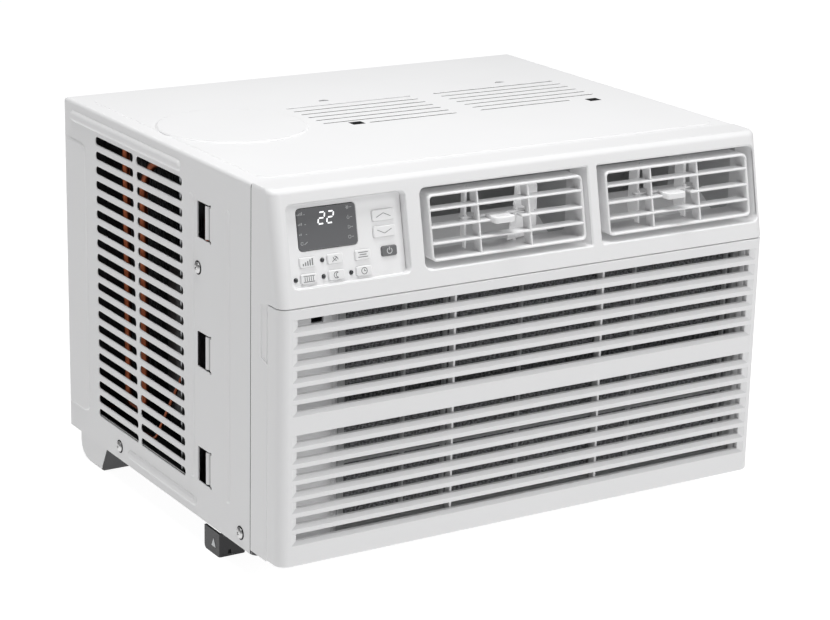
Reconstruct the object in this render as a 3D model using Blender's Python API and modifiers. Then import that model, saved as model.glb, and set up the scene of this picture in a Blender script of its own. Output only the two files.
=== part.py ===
"""A window air conditioner, modelled as the separate pieces it is assembled from.

Units are metres and +Z is up. The front faces -Y. The origin lies under the middle of the
object, on the surface that its rear feet and sash brackets stand on.

Most places are given as (across, deep, up): across from the left side of the casing, deep
from the front of the intake grille, and up from the lower edge of the front bezel.
"""

import math

import bmesh
import bpy
from mathutils import Matrix, Vector

# Casing
WIDTH = 0.470
DEPTH = 0.396
BEZEL_HEIGHT = 0.301
FOOT_HEIGHT = 0.0285
SHEET = 0.0012
GAP = 0.0003
CABINET_FRONT = 0.0485
CABINET_HEM = -0.0035
PAN_LOW = -0.0075

# Front bezel and intake grille
BEZEL_REAR = 0.048
BEZEL_WALL = 0.0025
GRILLE_REAR = 0.0210
CREASE_UP = 0.2117
TOP_SETBACK = 0.0188
LEAN = math.atan(TOP_SETBACK / (BEZEL_HEIGHT - CREASE_UP))

# Intake slots
SLOT_LEFT = 0.011
SLOT_RIGHT = 0.461
SLOT_HEIGHT = 0.0096
SLOT_PITCH = 0.0136
UPPER_SLOTS = 6
UPPER_FIRST_TOP = 0.2026
LOWER_SLOTS = 7
LOWER_FIRST_TOP = 0.1094

# Side vents, three curtain slots and three screws on each side
VENT_ROWS = 20
VENT_PITCH = 0.01303
VENT_HEIGHT = 0.007
VENT_LOWEST = 0.0275
VENT_COLUMNS = ((0.163, 0.2495), (0.255, 0.333))
CURTAIN_SLOT_DEEP = (0.117, 0.139)
CURTAIN_SLOT_HEIGHT = 0.0305
CURTAIN_SLOT_BOTTOMS = (0.236, 0.1275, 0.0285)
SCREW_PLACES = ((0.138, 0.211), (0.291, 0.0087), (0.0647, 0.0087))

# Control panel, measured in the leaning plane: across, and along the slope from the crease
RECESS_DEPTH = 0.0075
PANEL_BOX = (0.0123, 0.1177, 0.0143, 0.0790)
DISPLAY_BOX = (0.0243, 0.0765, 0.0418, 0.0746)
KEY_COLUMNS = (0.0302, 0.0544, 0.0790, 0.1030)
KEY_ROWS = (0.0207, 0.0334)
KEY_SIZE = (0.014, 0.008)
ARROW_SIZE = (0.020, 0.009)
BUTTONS = {
    "button_filter": (KEY_COLUMNS[0], KEY_ROWS[0], KEY_SIZE),
    "button_sleep": (KEY_COLUMNS[1], KEY_ROWS[0], KEY_SIZE),
    "button_timer": (KEY_COLUMNS[2], KEY_ROWS[0], KEY_SIZE),
    "button_fan_speed": (KEY_COLUMNS[0], KEY_ROWS[1], KEY_SIZE),
    "button_eco": (KEY_COLUMNS[1], KEY_ROWS[1], KEY_SIZE),
    "button_mode": (KEY_COLUMNS[2], KEY_ROWS[1], KEY_SIZE),
    "button_power": (KEY_COLUMNS[3], KEY_ROWS[1], KEY_SIZE),
    "button_down": (0.1000, 0.0490, ARROW_SIZE),
    "button_up": (0.1000, 0.0618, ARROW_SIZE),
}
LED_PLACES = ((0.0193, KEY_ROWS[0]), (0.0436, KEY_ROWS[0]), (0.0680, KEY_ROWS[0]), (0.0436, KEY_ROWS[1]))

# Louvre frames and their vanes
FRAME_LEFTS = {"left": 0.138, "right": 0.309}
FRAME_WIDTH = 0.148
FRAME_LOW = 0.231
FRAME_HIGH = 0.283
FRAME_WALL = 0.002
FRAME_REAR = 0.034
TILT_AXIS = (0.024, 0.257)
OUTLETS = ((0.1315, 0.2915), (0.3016, 0.4648))
OUTLET_SLOPE = (0.0146, 0.0790)
OUTLET_CHAMBERS = ((0.1310, 0.2920), (0.3010, 0.4652))
PLENUM_RIGHT = 0.4400
SLAT_UPS = (0.2445, 0.257, 0.2705)
SLAT_THICK = 0.0016
SLAT_DEPTH = 0.012
UPRIGHTS = (0.0465, 0.0950)
VANE_OFFSETS = (0.0430, 0.0915)
VANE_DEEP = 0.0268
VANE_ARM = 0.006
VANE_TURN = math.radians(27)
LINK_TRAVEL = 2 * VANE_ARM * math.sin(VANE_TURN)

# Fans, on one shaft
SHAFT_ACROSS = 0.285
SHAFT_UP = 0.135
SHAFT_RADIUS = 0.004
HUB_BORE = 0.0044
BLOWER_RADIUS = 0.075
FAN_RADIUS = 0.100

COLOURS = {
    "cabinet_steel": ((0.86, 0.86, 0.86), 0.45, 0.1),
    "bezel_plastic": ((0.90, 0.90, 0.90), 0.40, 0.0),
    "bracket_steel": ((0.02, 0.02, 0.02), 0.45, 0.2),
    "screw_steel": ((0.72, 0.72, 0.72), 0.25, 1.0),
    "filter_plastic": ((0.30, 0.31, 0.32), 0.60, 0.0),
    "filter_mesh": ((0.06, 0.06, 0.07), 0.80, 0.0),
    "display_smoke": ((0.14, 0.15, 0.16), 0.15, 0.0),
    "power_key": ((0.25, 0.26, 0.27), 0.40, 0.0),
    "lens_dark": ((0.05, 0.05, 0.06), 0.25, 0.0),
    "board_green": ((0.03, 0.18, 0.09), 0.50, 0.0),
    "galvanised": ((0.55, 0.57, 0.58), 0.40, 0.9),
    "black_plastic": ((0.03, 0.03, 0.03), 0.50, 0.0),
    "duct_foam": ((0.80, 0.80, 0.78), 0.80, 0.0),
    "coil_aluminium": ((0.70, 0.71, 0.72), 0.40, 1.0),
    "copper": ((0.72, 0.30, 0.16), 0.30, 1.0),
    "compressor_black": ((0.015, 0.015, 0.017), 0.35, 0.2),
    "motor_steel": ((0.45, 0.46, 0.47), 0.40, 0.9),
}


def at(across, deep, up):
    """A place on the object, as a point in the model's own frame."""
    return Vector((across - WIDTH / 2, deep - DEPTH / 2, up + FOOT_HEIGHT))


def on_slope(across, along, depth=0.0):
    """A place on the leaning control face: along the slope from the crease, and below the surface."""
    deep = along * math.sin(LEAN) + depth * math.cos(LEAN)
    up = CREASE_UP + along * math.cos(LEAN) - depth * math.sin(LEAN)
    return at(across, deep, up)


def slope_deep(up):
    """How far behind the front plane the leaning face is, at this height."""
    return (up - CREASE_UP) * math.tan(LEAN)


def clear_scene():
    for obj in list(bpy.data.objects):
        bpy.data.objects.remove(obj, do_unlink=True)


def new_collection(name):
    collection = bpy.data.collections.new(name)
    bpy.context.scene.collection.children.link(collection)
    return collection


def make_material(name):
    colour, roughness, metallic = COLOURS[name]
    material = bpy.data.materials.get(name)
    if material:
        return material
    material = bpy.data.materials.new(name)
    material.use_nodes = True
    shader = material.node_tree.nodes["Principled BSDF"]
    shader.inputs["Base Color"].default_value = (*colour, 1.0)
    shader.inputs["Roughness"].default_value = roughness
    shader.inputs["Metallic"].default_value = metallic
    material.diffuse_color = (*colour, 1.0)
    return material


def to_mesh(work, name="shape"):
    bmesh.ops.recalc_face_normals(work, faces=work.faces)
    mesh = bpy.data.meshes.new(name)
    work.to_mesh(mesh)
    work.free()
    return mesh


def blocks(*spans):
    """One mesh of separate boxes, each given as its low corner and its high corner."""
    work = bmesh.new()
    for low, high in spans:
        size = high - low
        place = Matrix.Translation((low + high) / 2) @ Matrix.Diagonal((*size, 1.0))
        bmesh.ops.create_cube(work, size=1.0, matrix=place)
    return to_mesh(work)


def block(across, deep, up):
    """A box between two values each of across, deep and up."""
    return blocks((at(across[0], deep[0], up[0]), at(across[1], deep[1], up[1])))


def slope_frame(depth=0.0):
    """The matrix whose X runs across, Y along the slope and Z out of the leaning face."""
    tilt = Matrix.Rotation(math.pi / 2 - LEAN, 4, "X")
    return Matrix.Translation(on_slope(0, 0, depth)) @ tilt


def slope_blocks(*spans):
    """Boxes on the leaning face: (left, right, low, high, nearest depth, farthest depth)."""
    work = bmesh.new()
    for left, right, low, high, near, far in spans:
        centre = Vector(((left + right) / 2, (low + high) / 2, -(near + far) / 2))
        scale = Matrix.Diagonal((right - left, high - low, far - near, 1.0))
        place = slope_frame() @ Matrix.Translation(centre) @ scale
        bmesh.ops.create_cube(work, size=1.0, matrix=place)
    return to_mesh(work)


def cylinders(*rods, sides=16):
    """Cylinders, each given as its two end points and its radius, or two radii for a cone."""
    work = bmesh.new()
    for start, end, *radii in rods:
        axis = end - start
        place = Matrix.Translation((start + end) / 2) @ axis.to_track_quat("Z", "Y").to_matrix().to_4x4()
        bmesh.ops.create_cone(
            work,
            cap_ends=True,
            segments=sides,
            radius1=radii[0],
            radius2=radii[-1],
            depth=axis.length,
            matrix=place,
        )
    return to_mesh(work)


def prism(outline, left, right):
    """An outline of (deep, up) points, pushed across from left to right."""
    work = bmesh.new()
    face = work.faces.new([work.verts.new(at(left, deep, up)) for deep, up in outline])
    pushed = bmesh.ops.extrude_face_region(work, geom=[face])["geom"]
    corners = [item for item in pushed if isinstance(item, bmesh.types.BMVert)]
    bmesh.ops.translate(work, verts=corners, vec=(right - left, 0, 0))
    return to_mesh(work)


def add_object(name, mesh, collection):
    obj = bpy.data.objects.new(name, mesh)
    collection.objects.link(obj)
    return obj


def join_or_cut(obj, mesh, operation):
    """Adds a Boolean modifier that unites this shape with the object, or takes it away."""
    tool = add_object(f"{obj.name}_{operation.lower()}_{len(obj.modifiers)}", mesh, TOOLS)
    tool.hide_render = True
    tool.display_type = "WIRE"
    modifier = obj.modifiers.new(operation.title(), "BOOLEAN")
    modifier.operation = operation
    modifier.object = tool
    modifier.solver = "EXACT"


def piece(name, base, material, carve=(), add=(), cut=(), pivot=None, bevel=0.0, smooth=False):
    """One named piece: its base is carved, then added to, then cut. Its origin is at its pivot."""
    obj = add_object(name, base, PARTS)
    obj.data.name = name
    obj.data.materials.append(make_material(material))
    if pivot is not None:
        obj.data.transform(Matrix.Translation(-pivot))
        obj.location = pivot
    if bevel:
        rounding = obj.modifiers.new("Rounded edges", "BEVEL")
        rounding.width = bevel
        rounding.segments = 1
        rounding.limit_method = "ANGLE"
    for mesh in carve:
        join_or_cut(obj, mesh, "DIFFERENCE")
    for mesh in add:
        join_or_cut(obj, mesh, "UNION")
    for mesh in cut:
        join_or_cut(obj, mesh, "DIFFERENCE")
    if smooth:
        obj.data.shade_smooth()
        obj.data.set_sharp_from_angle(angle=math.radians(35))
    return obj


def turned_piece(name, profile, centre, material, sides=32):
    """A profile of (radius, height) points, from the top down, turned about a vertical axis."""
    mesh = bpy.data.meshes.new(name)
    edges = [(i, i + 1) for i in range(len(profile) - 1)]
    mesh.from_pydata([(radius, 0, height) for radius, height in profile], edges, [])
    obj = add_object(name, mesh, PARTS)
    obj.location = centre
    mesh.materials.append(make_material(material))
    turn = obj.modifiers.new("Turned", "SCREW")
    turn.steps = turn.render_steps = sides
    turn.use_merge_vertices = True
    turn.merge_threshold = 0.00001
    turn.use_smooth_shade = True


def both_sides(left, right):
    """A span of across values and the same span mirrored to the casing's other side."""
    return (left, right), (WIDTH - right, WIDTH - left)


def mirrored_blocks(across, *deep_and_up):
    """Boxes at the left side and the same ones at the right side."""
    spans = []
    for left, right in both_sides(*across):
        for deep, up in deep_and_up:
            spans.append((at(left, deep[0], up[0]), at(right, deep[1], up[1])))
    return blocks(*spans)


def screw_holes(radius, places, reach):
    """Round holes through both sides of the casing."""
    rods = []
    for deep, up in places:
        rods.append((at(-0.005, deep, up), at(reach, deep, up), radius))
        rods.append((at(WIDTH - reach, deep, up), at(WIDTH + 0.005, deep, up), radius))
    return cylinders(*rods, sides=12)


def cabinet_shell():
    outer = block((0, WIDTH), (CABINET_FRONT, DEPTH), (CABINET_HEM, BEZEL_HEIGHT))
    inside = block((SHEET, WIDTH - SHEET), (0, 0.5), (-0.1, BEZEL_HEIGHT - SHEET))
    rows = [VENT_LOWEST + row * VENT_PITCH for row in range(VENT_ROWS)]
    vents = [(span, (up - VENT_HEIGHT / 2, up + VENT_HEIGHT / 2)) for span in VENT_COLUMNS for up in rows]
    slots = [(CURTAIN_SLOT_DEEP, (low, low + CURTAIN_SLOT_HEIGHT)) for low in CURTAIN_SLOT_BOTTOMS]
    side_cuts = mirrored_blocks((-0.003, SHEET + 0.003), *vents, *slots)
    top_cuts = []
    first_row, row_pitch, slot_width = 0.267, 0.0128, 0.0024
    for row in range(7):
        deep = first_row - row * row_pitch
        is_last = row == 6
        for left, right in ((0.189 if is_last else 0.151, 0.277), (0.301, 0.397 if is_last else 0.431)):
            top_cuts.append((left, right, deep - slot_width / 2, deep + slot_width / 2))
    for left, deep in ((0.172, 0.1875), (0.411, 0.1780)):
        top_cuts.append((left, left + 0.012, deep, deep + 0.010))
    for middle in (0.197, 0.383):
        top_cuts.append((middle - 0.005, middle + 0.005, 0.281, 0.286))
    spans = [
        (at(left, near, BEZEL_HEIGHT - 0.005), at(right, far, BEZEL_HEIGHT + 0.005))
        for left, right, near, far in top_cuts
    ]
    holes = screw_holes(0.0023, SCREW_PLACES, 0.005)
    piece("cabinet_shell", outer, "cabinet_steel", cut=[inside, side_cuts, blocks(*spans), holes])


def base_pan():
    wall, low, high = 0.0015, PAN_LOW, 0.0250
    left, right = SHEET + GAP, WIDTH - SHEET - GAP
    front, rear = CABINET_FRONT + 0.004, 0.3915
    tray = block((left, right), (front, rear), (low, high))
    hollow = block((left + wall, right - wall), (front + wall, rear - wall), (low + wall, 0.1))
    foot_front, foot_rear, foot_width = 0.328, 0.3755, 0.058
    foot_low = -FOOT_HEIGHT
    outline = (
        (foot_front + 0.004, foot_low),
        (foot_rear - 0.020, foot_low),
        (foot_rear - 0.006, foot_low + 0.005),
        (foot_rear, foot_low + 0.013),
        (foot_rear, low + 0.001),
        (foot_front, low + 0.001),
    )
    pocket = (
        (foot_front + 0.006, foot_low + wall),
        (foot_rear - 0.021, foot_low + wall),
        (foot_rear - 0.007, foot_low + 0.007),
        (foot_rear - wall, foot_low + 0.014),
        (foot_rear - wall, 0.0),
        (foot_front + wall, 0.0),
    )
    feet = []
    pockets = []
    for start, end in both_sides(left, foot_width):
        feet.append(prism(outline, start, end))
        pockets.append(prism(pocket, start + wall, end - wall))
    holes = screw_holes(0.0023, SCREW_PLACES[1:], 0.008)
    piece("base_pan", tray, "cabinet_steel", add=feet, cut=[hollow, *pockets, holes])


def sash_bracket(side, start, end):
    """A bent steel foot under each front corner, which hooks over the window sill."""
    wall = 0.002
    low, high = -FOOT_HEIGHT, PAN_LOW - GAP
    front, rear = 0.1055, 0.132
    room_across = (start + wall, end + 0.01) if side == "left" else (start - 0.01, end - wall)
    room = block(room_across, (front + wall, rear + 0.01), (low + wall, high - wall))
    middle = start + wall / 2 if side == "left" else end - wall / 2
    hole_start, hole_end = at(middle - 0.004, 0.1175, -0.0190), at(middle + 0.004, 0.1175, -0.0190)
    hole = cylinders((hole_start, hole_end, 0.0045), sides=3)
    piece(
        f"sash_bracket_{side}",
        block((start, end), (front, rear), (low, high)),
        "bracket_steel",
        carve=[room],
        cut=[hole],
    )


def rear_guard():
    sheet = block((0.002, WIDTH - 0.002), (0.3920, 0.3940), (-0.003, 0.2993))
    windows = []
    columns, rows, bar = 3, 17, 0.008
    left, low, width, height = 0.022, 0.012, 0.426, 0.272
    cell_width = (width + bar) / columns
    cell_height = height / rows
    for column in range(columns):
        for row in range(rows):
            start = left + column * cell_width
            bottom = low + row * cell_height
            windows.append((at(start, 0.39, bottom), at(start + cell_width - bar, 0.396, bottom + 0.011)))
    piece("rear_guard", sheet, "cabinet_steel", cut=[blocks(*windows)])


def front_bezel():
    outline = (
        (0.0216, 0.0),
        (0.0216, CREASE_UP),
        (0.0, CREASE_UP),
        (TOP_SETBACK, BEZEL_HEIGHT),
        (BEZEL_REAR, BEZEL_HEIGHT),
        (BEZEL_REAR, 0.0),
    )
    slant = BEZEL_WALL / math.cos(LEAN)
    ceiling = BEZEL_HEIGHT - BEZEL_WALL
    ledge = CREASE_UP + BEZEL_WALL
    cavity = (
        (0.0216 + BEZEL_WALL, BEZEL_WALL),
        (0.0216 + BEZEL_WALL, ledge),
        (slope_deep(ledge) + slant, ledge),
        (slope_deep(ceiling) + slant, ceiling),
        (0.06, ceiling),
        (0.06, BEZEL_WALL),
    )
    left, right, low, high = PANEL_BOX
    slip = GAP
    recess = slope_blocks((left - slip, right + slip, low - slip, high + slip, -0.01, 0.006))
    outlets = slope_blocks(*[(start, end, *OUTLET_SLOPE, -0.01, 0.006) for start, end in OUTLETS])
    intake = block((0.062, 0.452), (0.015, 0.030), (0.018, 0.203))
    piece(
        "front_bezel",
        prism(outline, 0, WIDTH),
        "bezel_plastic",
        cut=[prism(cavity, BEZEL_WALL, WIDTH - BEZEL_WALL), recess, outlets, intake],
    )


def intake_grille():
    wall = 0.0025
    low, high = GAP, CREASE_UP - 0.0005
    outer = block((0, WIDTH), (0, GRILLE_REAR), (low, high))
    hollow = block((wall, WIDTH - wall), (wall, 0.05), (low + wall, high - wall))
    tops = [UPPER_FIRST_TOP - SLOT_PITCH * row for row in range(UPPER_SLOTS)]
    tops += [LOWER_FIRST_TOP - SLOT_PITCH * row for row in range(LOWER_SLOTS)]
    slots = [
        (at(SLOT_LEFT, -0.01, top - SLOT_HEIGHT), at(SLOT_RIGHT, 0.01, top)) for top in tops
    ]
    ribs = [
        block((middle - 0.001, middle + 0.001), (wall / 2, 0.0115), (low + wall / 2, high - wall / 2))
        for middle in (0.1605, 0.3048)
    ]
    rails = [
        block(span, (wall / 2, 0.0185), (low + wall / 2, high - wall / 2))
        for span in ((0.0560, 0.0578), (0.4542, 0.4560))
    ]
    piece(
        "intake_grille",
        outer,
        "bezel_plastic",
        cut=[hollow, blocks(*slots)],
        add=[*ribs, *rails],
        pivot=at(WIDTH / 2, GRILLE_REAR - 0.0005, 0.0005),
    )


def filter_parts():
    left, right, low, high = 0.0585, 0.4535, 0.0140, 0.1955
    near, far, rim = 0.0125, 0.0165, 0.006
    frame = block((left, right), (near, far), (low, high))
    uprights = (0.1190, 0.1575, 0.2300, 0.3076, 0.3438, 0.4409)
    cross_bars = (0.0750, 0.1350)
    half = 0.0012
    edges_across = [left + rim, *[x + s * half for x in uprights for s in (-1, 1)], right - rim]
    edges_up = [low + rim, *[z + s * half for z in cross_bars for s in (-1, 1)], high - rim]
    windows = []
    for start, end in zip(edges_across[0::2], edges_across[1::2]):
        for bottom, top in zip(edges_up[0::2], edges_up[1::2]):
            windows.append((at(start, 0.01, bottom), at(end, 0.02, top)))
    pivot = at(WIDTH / 2, far, low)
    piece("filter_frame", frame, "filter_plastic", cut=[blocks(*windows)], pivot=pivot)
    cloth = block((left + 0.002, right - 0.002), (far + GAP, far + 0.0012), (low + 0.002, high - 0.002))
    piece("filter_mesh", cloth, "filter_mesh", pivot=pivot)


def control_parts():
    left, right, low, high = PANEL_BOX
    wall, floor = 0.0015, RECESS_DEPTH + 0.002
    tray = slope_blocks((left, right, low, high, 0, floor))
    hollow = slope_blocks((left + wall, right - wall, low + wall, high - wall, -0.01, RECESS_DEPTH))
    slip = 0.0004
    openings = [(*DISPLAY_BOX, RECESS_DEPTH - 0.002, floor + 0.002)]
    for across, along, (width, height) in BUTTONS.values():
        half_width, half_height = width / 2 + slip, height / 2 + slip
        edges = (across - half_width, across + half_width, along - half_height, along + half_height)
        openings.append((*edges, RECESS_DEPTH - 0.002, floor + 0.002))
    led_holes = [
        (on_slope(across, along, RECESS_DEPTH - 0.002), on_slope(across, along, floor + 0.002), 0.002)
        for across, along in LED_PLACES
    ]
    piece(
        "control_panel",
        tray,
        "bezel_plastic",
        cut=[hollow, slope_blocks(*openings), cylinders(*led_holes, sides=12)],
    )
    left, right, low, high = DISPLAY_BOX
    lens = (left + slip, right - slip, low + slip, high - slip)
    piece("display_window", slope_blocks((*lens, RECESS_DEPTH - 0.0005, floor + 0.0005)), "display_smoke")

    back = floor + GAP
    lit_row, strip_half = 0.0270, 0.0008
    columns = sorted({across for across, _ in LED_PLACES})
    arms = []
    for column in columns:
        rows = [along for across, along in LED_PLACES if across == column] + [lit_row]
        low, high = min(rows) - 0.0005, max(rows) + 0.0005
        arms.append((column - 0.0009, column + 0.0009, low, high, back, back + 0.0012))
    strip_low, strip_high = lit_row - strip_half, lit_row + strip_half
    strip = slope_blocks((columns[0], columns[-1], strip_low, strip_high, back + 0.0002, back + 0.0011))
    pegs = cylinders(
        *[
            (on_slope(across, along, RECESS_DEPTH - 0.0003), on_slope(across, along, back + 0.0006), 0.0016)
            for across, along in LED_PLACES
        ],
        sides=12,
    )
    piece("light_pipe", strip, "lens_dark", add=[slope_blocks(*arms), pegs])

    lip, travel = 0.0009, 0.001
    for name, (across, along, (width, height)) in BUTTONS.items():
        half_width, half_height = width / 2, height / 2
        cap = slope_blocks(
            (
                across - half_width,
                across + half_width,
                along - half_height,
                along + half_height,
                RECESS_DEPTH - 0.0015,
                back + 0.0006,
            )
        )
        flange = slope_blocks(
            (
                across - half_width - lip,
                across + half_width + lip,
                along - half_height - lip,
                along + half_height + lip,
                back,
                back + 0.0012,
            )
        )
        material = "power_key" if name == "button_power" else "bezel_plastic"
        piece(name, cap, material, add=[flange], pivot=on_slope(across, along, back), bevel=0.0004)

    board_front = back + 0.0012 + travel + GAP
    left, right, low, high = PANEL_BOX
    board = (left + 0.002, right - 0.002, low + 0.002, high - 0.002, board_front, board_front + 0.0016)
    piece("control_board", slope_blocks(board), "board_green")
    box_front = board_front + 0.0016 + GAP
    box_low, box_high = low + 0.006, high - 0.010
    box = slope_blocks((left + 0.001, right - 0.001, box_low, box_high, box_front, box_front + 0.016))
    room = (left + 0.002, right - 0.002, box_low + 0.001, box_high - 0.001)
    box_hollow = slope_blocks((*room, box_front - 0.01, box_front + 0.015))
    piece("control_box", box, "galvanised", cut=[box_hollow])


def discharge_duct():
    low, high, rear, wall = 0.2165, 0.2980, 0.165, 0.002
    lead = BEZEL_WALL / math.cos(LEAN) + 0.0008
    outline = (
        (slope_deep(low) + lead, low),
        (slope_deep(high) + lead, high),
        (rear, high),
        (rear, low),
    )
    inside = (low + wall, high - wall)
    chambers = [block(span, (-0.01, 0.0985), inside) for span in OUTLET_CHAMBERS]
    plenum = block((OUTLET_CHAMBERS[0][0], PLENUM_RIGHT), (0.095, rear - wall), inside)
    beside_plenum = block((PLENUM_RIGHT + wall, 0.5), (0.1005, 0.2), (low - 0.01, high + 0.01))
    throat = block((0.293, 0.372), (0.100, 0.155), (low - 0.01, low + 0.01))
    pivot_hole = cylinders((at(0.12, *TILT_AXIS), at(0.48, *TILT_AXIS), 0.00235), sides=12)
    piece(
        "discharge_duct",
        prism(outline, 0.1290, 0.4670),
        "bezel_plastic",
        carve=[beside_plenum],
        cut=[*chambers, plenum, throat, pivot_hole],
    )


def louver_frame(side):
    left = FRAME_LEFTS[side]
    right = left + FRAME_WIDTH

    def slanted(low, high, rear_low, rear_high):
        return ((slope_deep(low), low), (slope_deep(high), high), (rear_high, high), (rear_low, low))

    outer = prism(slanted(FRAME_LOW, FRAME_HIGH, FRAME_REAR, FRAME_REAR), left, right)
    slip = 0.0002
    low, high = FRAME_LOW + FRAME_WALL - slip, FRAME_HIGH - FRAME_WALL + slip
    behind_slats = (
        (slope_deep(low) + SLAT_DEPTH, low),
        (slope_deep(high) + SLAT_DEPTH, high),
        (0.1, high),
        (0.1, low),
    )
    cavity = prism(behind_slats, left + FRAME_WALL - slip, right - FRAME_WALL + slip)
    half = SLAT_THICK / 2
    upright_faces = [left + x + s * half for x in UPRIGHTS for s in (-1, 1)]
    slat_faces = [up + s * half for up in SLAT_UPS for s in (-1, 1)]
    columns = [left + FRAME_WALL, *upright_faces, right - FRAME_WALL]
    rows = [FRAME_LOW + FRAME_WALL, *slat_faces, FRAME_HIGH - FRAME_WALL]
    cells = []
    for start, end in zip(columns[0::2], columns[1::2]):
        for bottom, top in zip(rows[0::2], rows[1::2]):
            cells.append((at(start, -0.05, bottom), at(end, 0.032, top)))
    pin_reach = {"left": (0.1295, 0.2945), "right": (0.2985, 0.4665)}[side]
    pins = [
        cylinders((at(pin_reach[0], *TILT_AXIS), at(left + 0.001, *TILT_AXIS), 0.002), sides=12),
        cylinders((at(right - 0.001, *TILT_AXIS), at(pin_reach[1], *TILT_AXIS), 0.002), sides=12),
    ]
    link_room = block((left + 0.030, left + 0.106), (0.0178, 0.05), (0.2535, 0.2625))
    tab_room = block((left + 0.0570, left + 0.0865), (0.0, 0.03), (0.2550, 0.2610))
    vane_pins = [
        (at(left + offset, VANE_DEEP, FRAME_LOW - 0.01), at(left + offset, VANE_DEEP, FRAME_HIGH + 0.01), 0.0016)
        for offset in VANE_OFFSETS
    ]
    piece(
        f"louver_frame_{side}",
        outer,
        "bezel_plastic",
        carve=[cavity, blocks(*cells)],
        add=pins,
        cut=[link_room, tab_room, cylinders(*vane_pins, sides=8)],
        pivot=at((left + right) / 2, *TILT_AXIS),
    )


def vane(side, index, blade_turn):
    """A vertical vane on two pins, turned by the peg on its arm. Its front edge follows the slats."""
    middle = FRAME_LEFTS[side] + VANE_OFFSETS[index]
    low, high, chord, round_off = 0.2340, 0.2800, 0.026, 0.008
    lip, slat_gap = 0.0012, 0.0015
    lead = VANE_DEEP - slope_deep(low) - SLAT_DEPTH - slat_gap
    knee = low + (lead - lip) / math.tan(LEAN)
    centre = at(middle, VANE_DEEP, 0)
    outline = (
        (VANE_DEEP - lead, low),
        (VANE_DEEP - lip, knee),
        (VANE_DEEP - lip, high),
        (VANE_DEEP + chord - round_off, high),
        (VANE_DEEP + chord, high - round_off),
        (VANE_DEEP + chord, low + round_off),
        (VANE_DEEP + chord - round_off, low),
    )

    def turn(mesh, angle):
        rotation = Matrix.Rotation(angle, 4, "Z")
        mesh.transform(Matrix.Translation(centre) @ rotation @ Matrix.Translation(-centre))
        return mesh

    blade = turn(prism(outline, middle - 0.0008, middle + 0.0008), blade_turn)
    notch_deep = (VANE_DEEP - 0.02, VANE_DEEP - 0.0014)
    link_notch = block((middle - 0.003, middle + 0.003), notch_deep, (0.2545, 0.2622))
    pins = cylinders((at(middle, VANE_DEEP, 0.2315), at(middle, VANE_DEEP, 0.2825), 0.0012), sides=8)
    peg_deep = VANE_DEEP - VANE_ARM
    arm_deep = (peg_deep - 0.0014, VANE_DEEP + 0.0005)
    arm = block((middle - 0.0014, middle + 0.0014), arm_deep, (0.2560, 0.2577))
    peg = cylinders((at(middle, peg_deep, 0.2570), at(middle, peg_deep, 0.2612), 0.0011), sides=8)
    piece(
        f"vane_{side}_{index + 1}",
        blade,
        "bezel_plastic",
        carve=[turn(link_notch, blade_turn)],
        add=[pins, turn(arm, -VANE_TURN), turn(peg, -VANE_TURN)],
        pivot=at(middle, VANE_DEEP, (low + high) / 2),
    )


def link_bar(side):
    left = FRAME_LEFTS[side]
    plate = block((left + 0.0345, left + 0.0975), (0.0183, 0.0240), (0.2582, 0.2600))
    tab = block((left + 0.0573, left + 0.0766), (0.0030, 0.0195), (0.2553, 0.2604))
    slots = []
    for offset in VANE_OFFSETS:
        peg = left + offset - VANE_ARM * math.sin(VANE_TURN)
        slots.append((at(peg - 0.00155, 0.0193, 0.25), at(peg + 0.00155, 0.0229, 0.27)))
    piece(
        f"link_bar_{side}",
        plate,
        "bezel_plastic",
        add=[tab],
        cut=[blocks(*slots)],
        pivot=at(left + 0.067, 0.0183, 0.2582),
    )


def air_path():
    bulkhead = block((0.0035, WIDTH - 0.0035), (0.175, 0.177), (-0.0057, 0.2955))
    shaft_hole = cylinders((at(SHAFT_ACROSS, 0.17, SHAFT_UP), at(SHAFT_ACROSS, 0.18, SHAFT_UP), 0.010))
    pipe_room = block((0.014, 0.062), (0.17, 0.18), (0.170, 0.240))
    piece("bulkhead", bulkhead, "galvanised", cut=[shaft_hole, pipe_room])

    scroll = block((0.180, 0.390), (0.092, 0.168), (0.020, 0.2160))
    cavity_start, cavity_end = at(SHAFT_ACROSS, 0.096, SHAFT_UP), at(SHAFT_ACROSS, 0.160, SHAFT_UP)
    cavity = cylinders((cavity_start, cavity_end, 0.086), sides=32)
    throat = block((0.294, 0.3705), (0.0965, 0.1595), (SHAFT_UP, 0.25))
    mouth = cylinders((at(SHAFT_ACROSS, 0.08, SHAFT_UP), at(SHAFT_ACROSS, 0.10, SHAFT_UP), 0.062), sides=32)
    rear_hole = cylinders((at(SHAFT_ACROSS, 0.155, SHAFT_UP), at(SHAFT_ACROSS, 0.18, SHAFT_UP), 0.012))
    corner_rods = [
        (at(across, 0.08, up), at(across, 0.18, up), 0.018)
        for across, up in ((0.180, 0.020), (0.390, 0.020), (0.180, 0.216))
    ]
    cut = [cavity, throat, mouth, rear_hole, cylinders(*corner_rods)]
    piece("blower_scroll", scroll, "duct_foam", cut=cut)

    shroud = block((0.145, 0.452), (0.296, 0.342), (-0.0055, 0.2955))
    duct = block((0.147, 0.450), (0.300, 0.35), (-0.0035, 0.2935))
    ring_start, ring_end = at(SHAFT_ACROSS, 0.29, SHAFT_UP), at(SHAFT_ACROSS, 0.31, SHAFT_UP)
    ring_hole = cylinders((ring_start, ring_end, 0.107), sides=32)
    piece("condenser_shroud", shroud, "black_plastic", cut=[duct, ring_hole])


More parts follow.
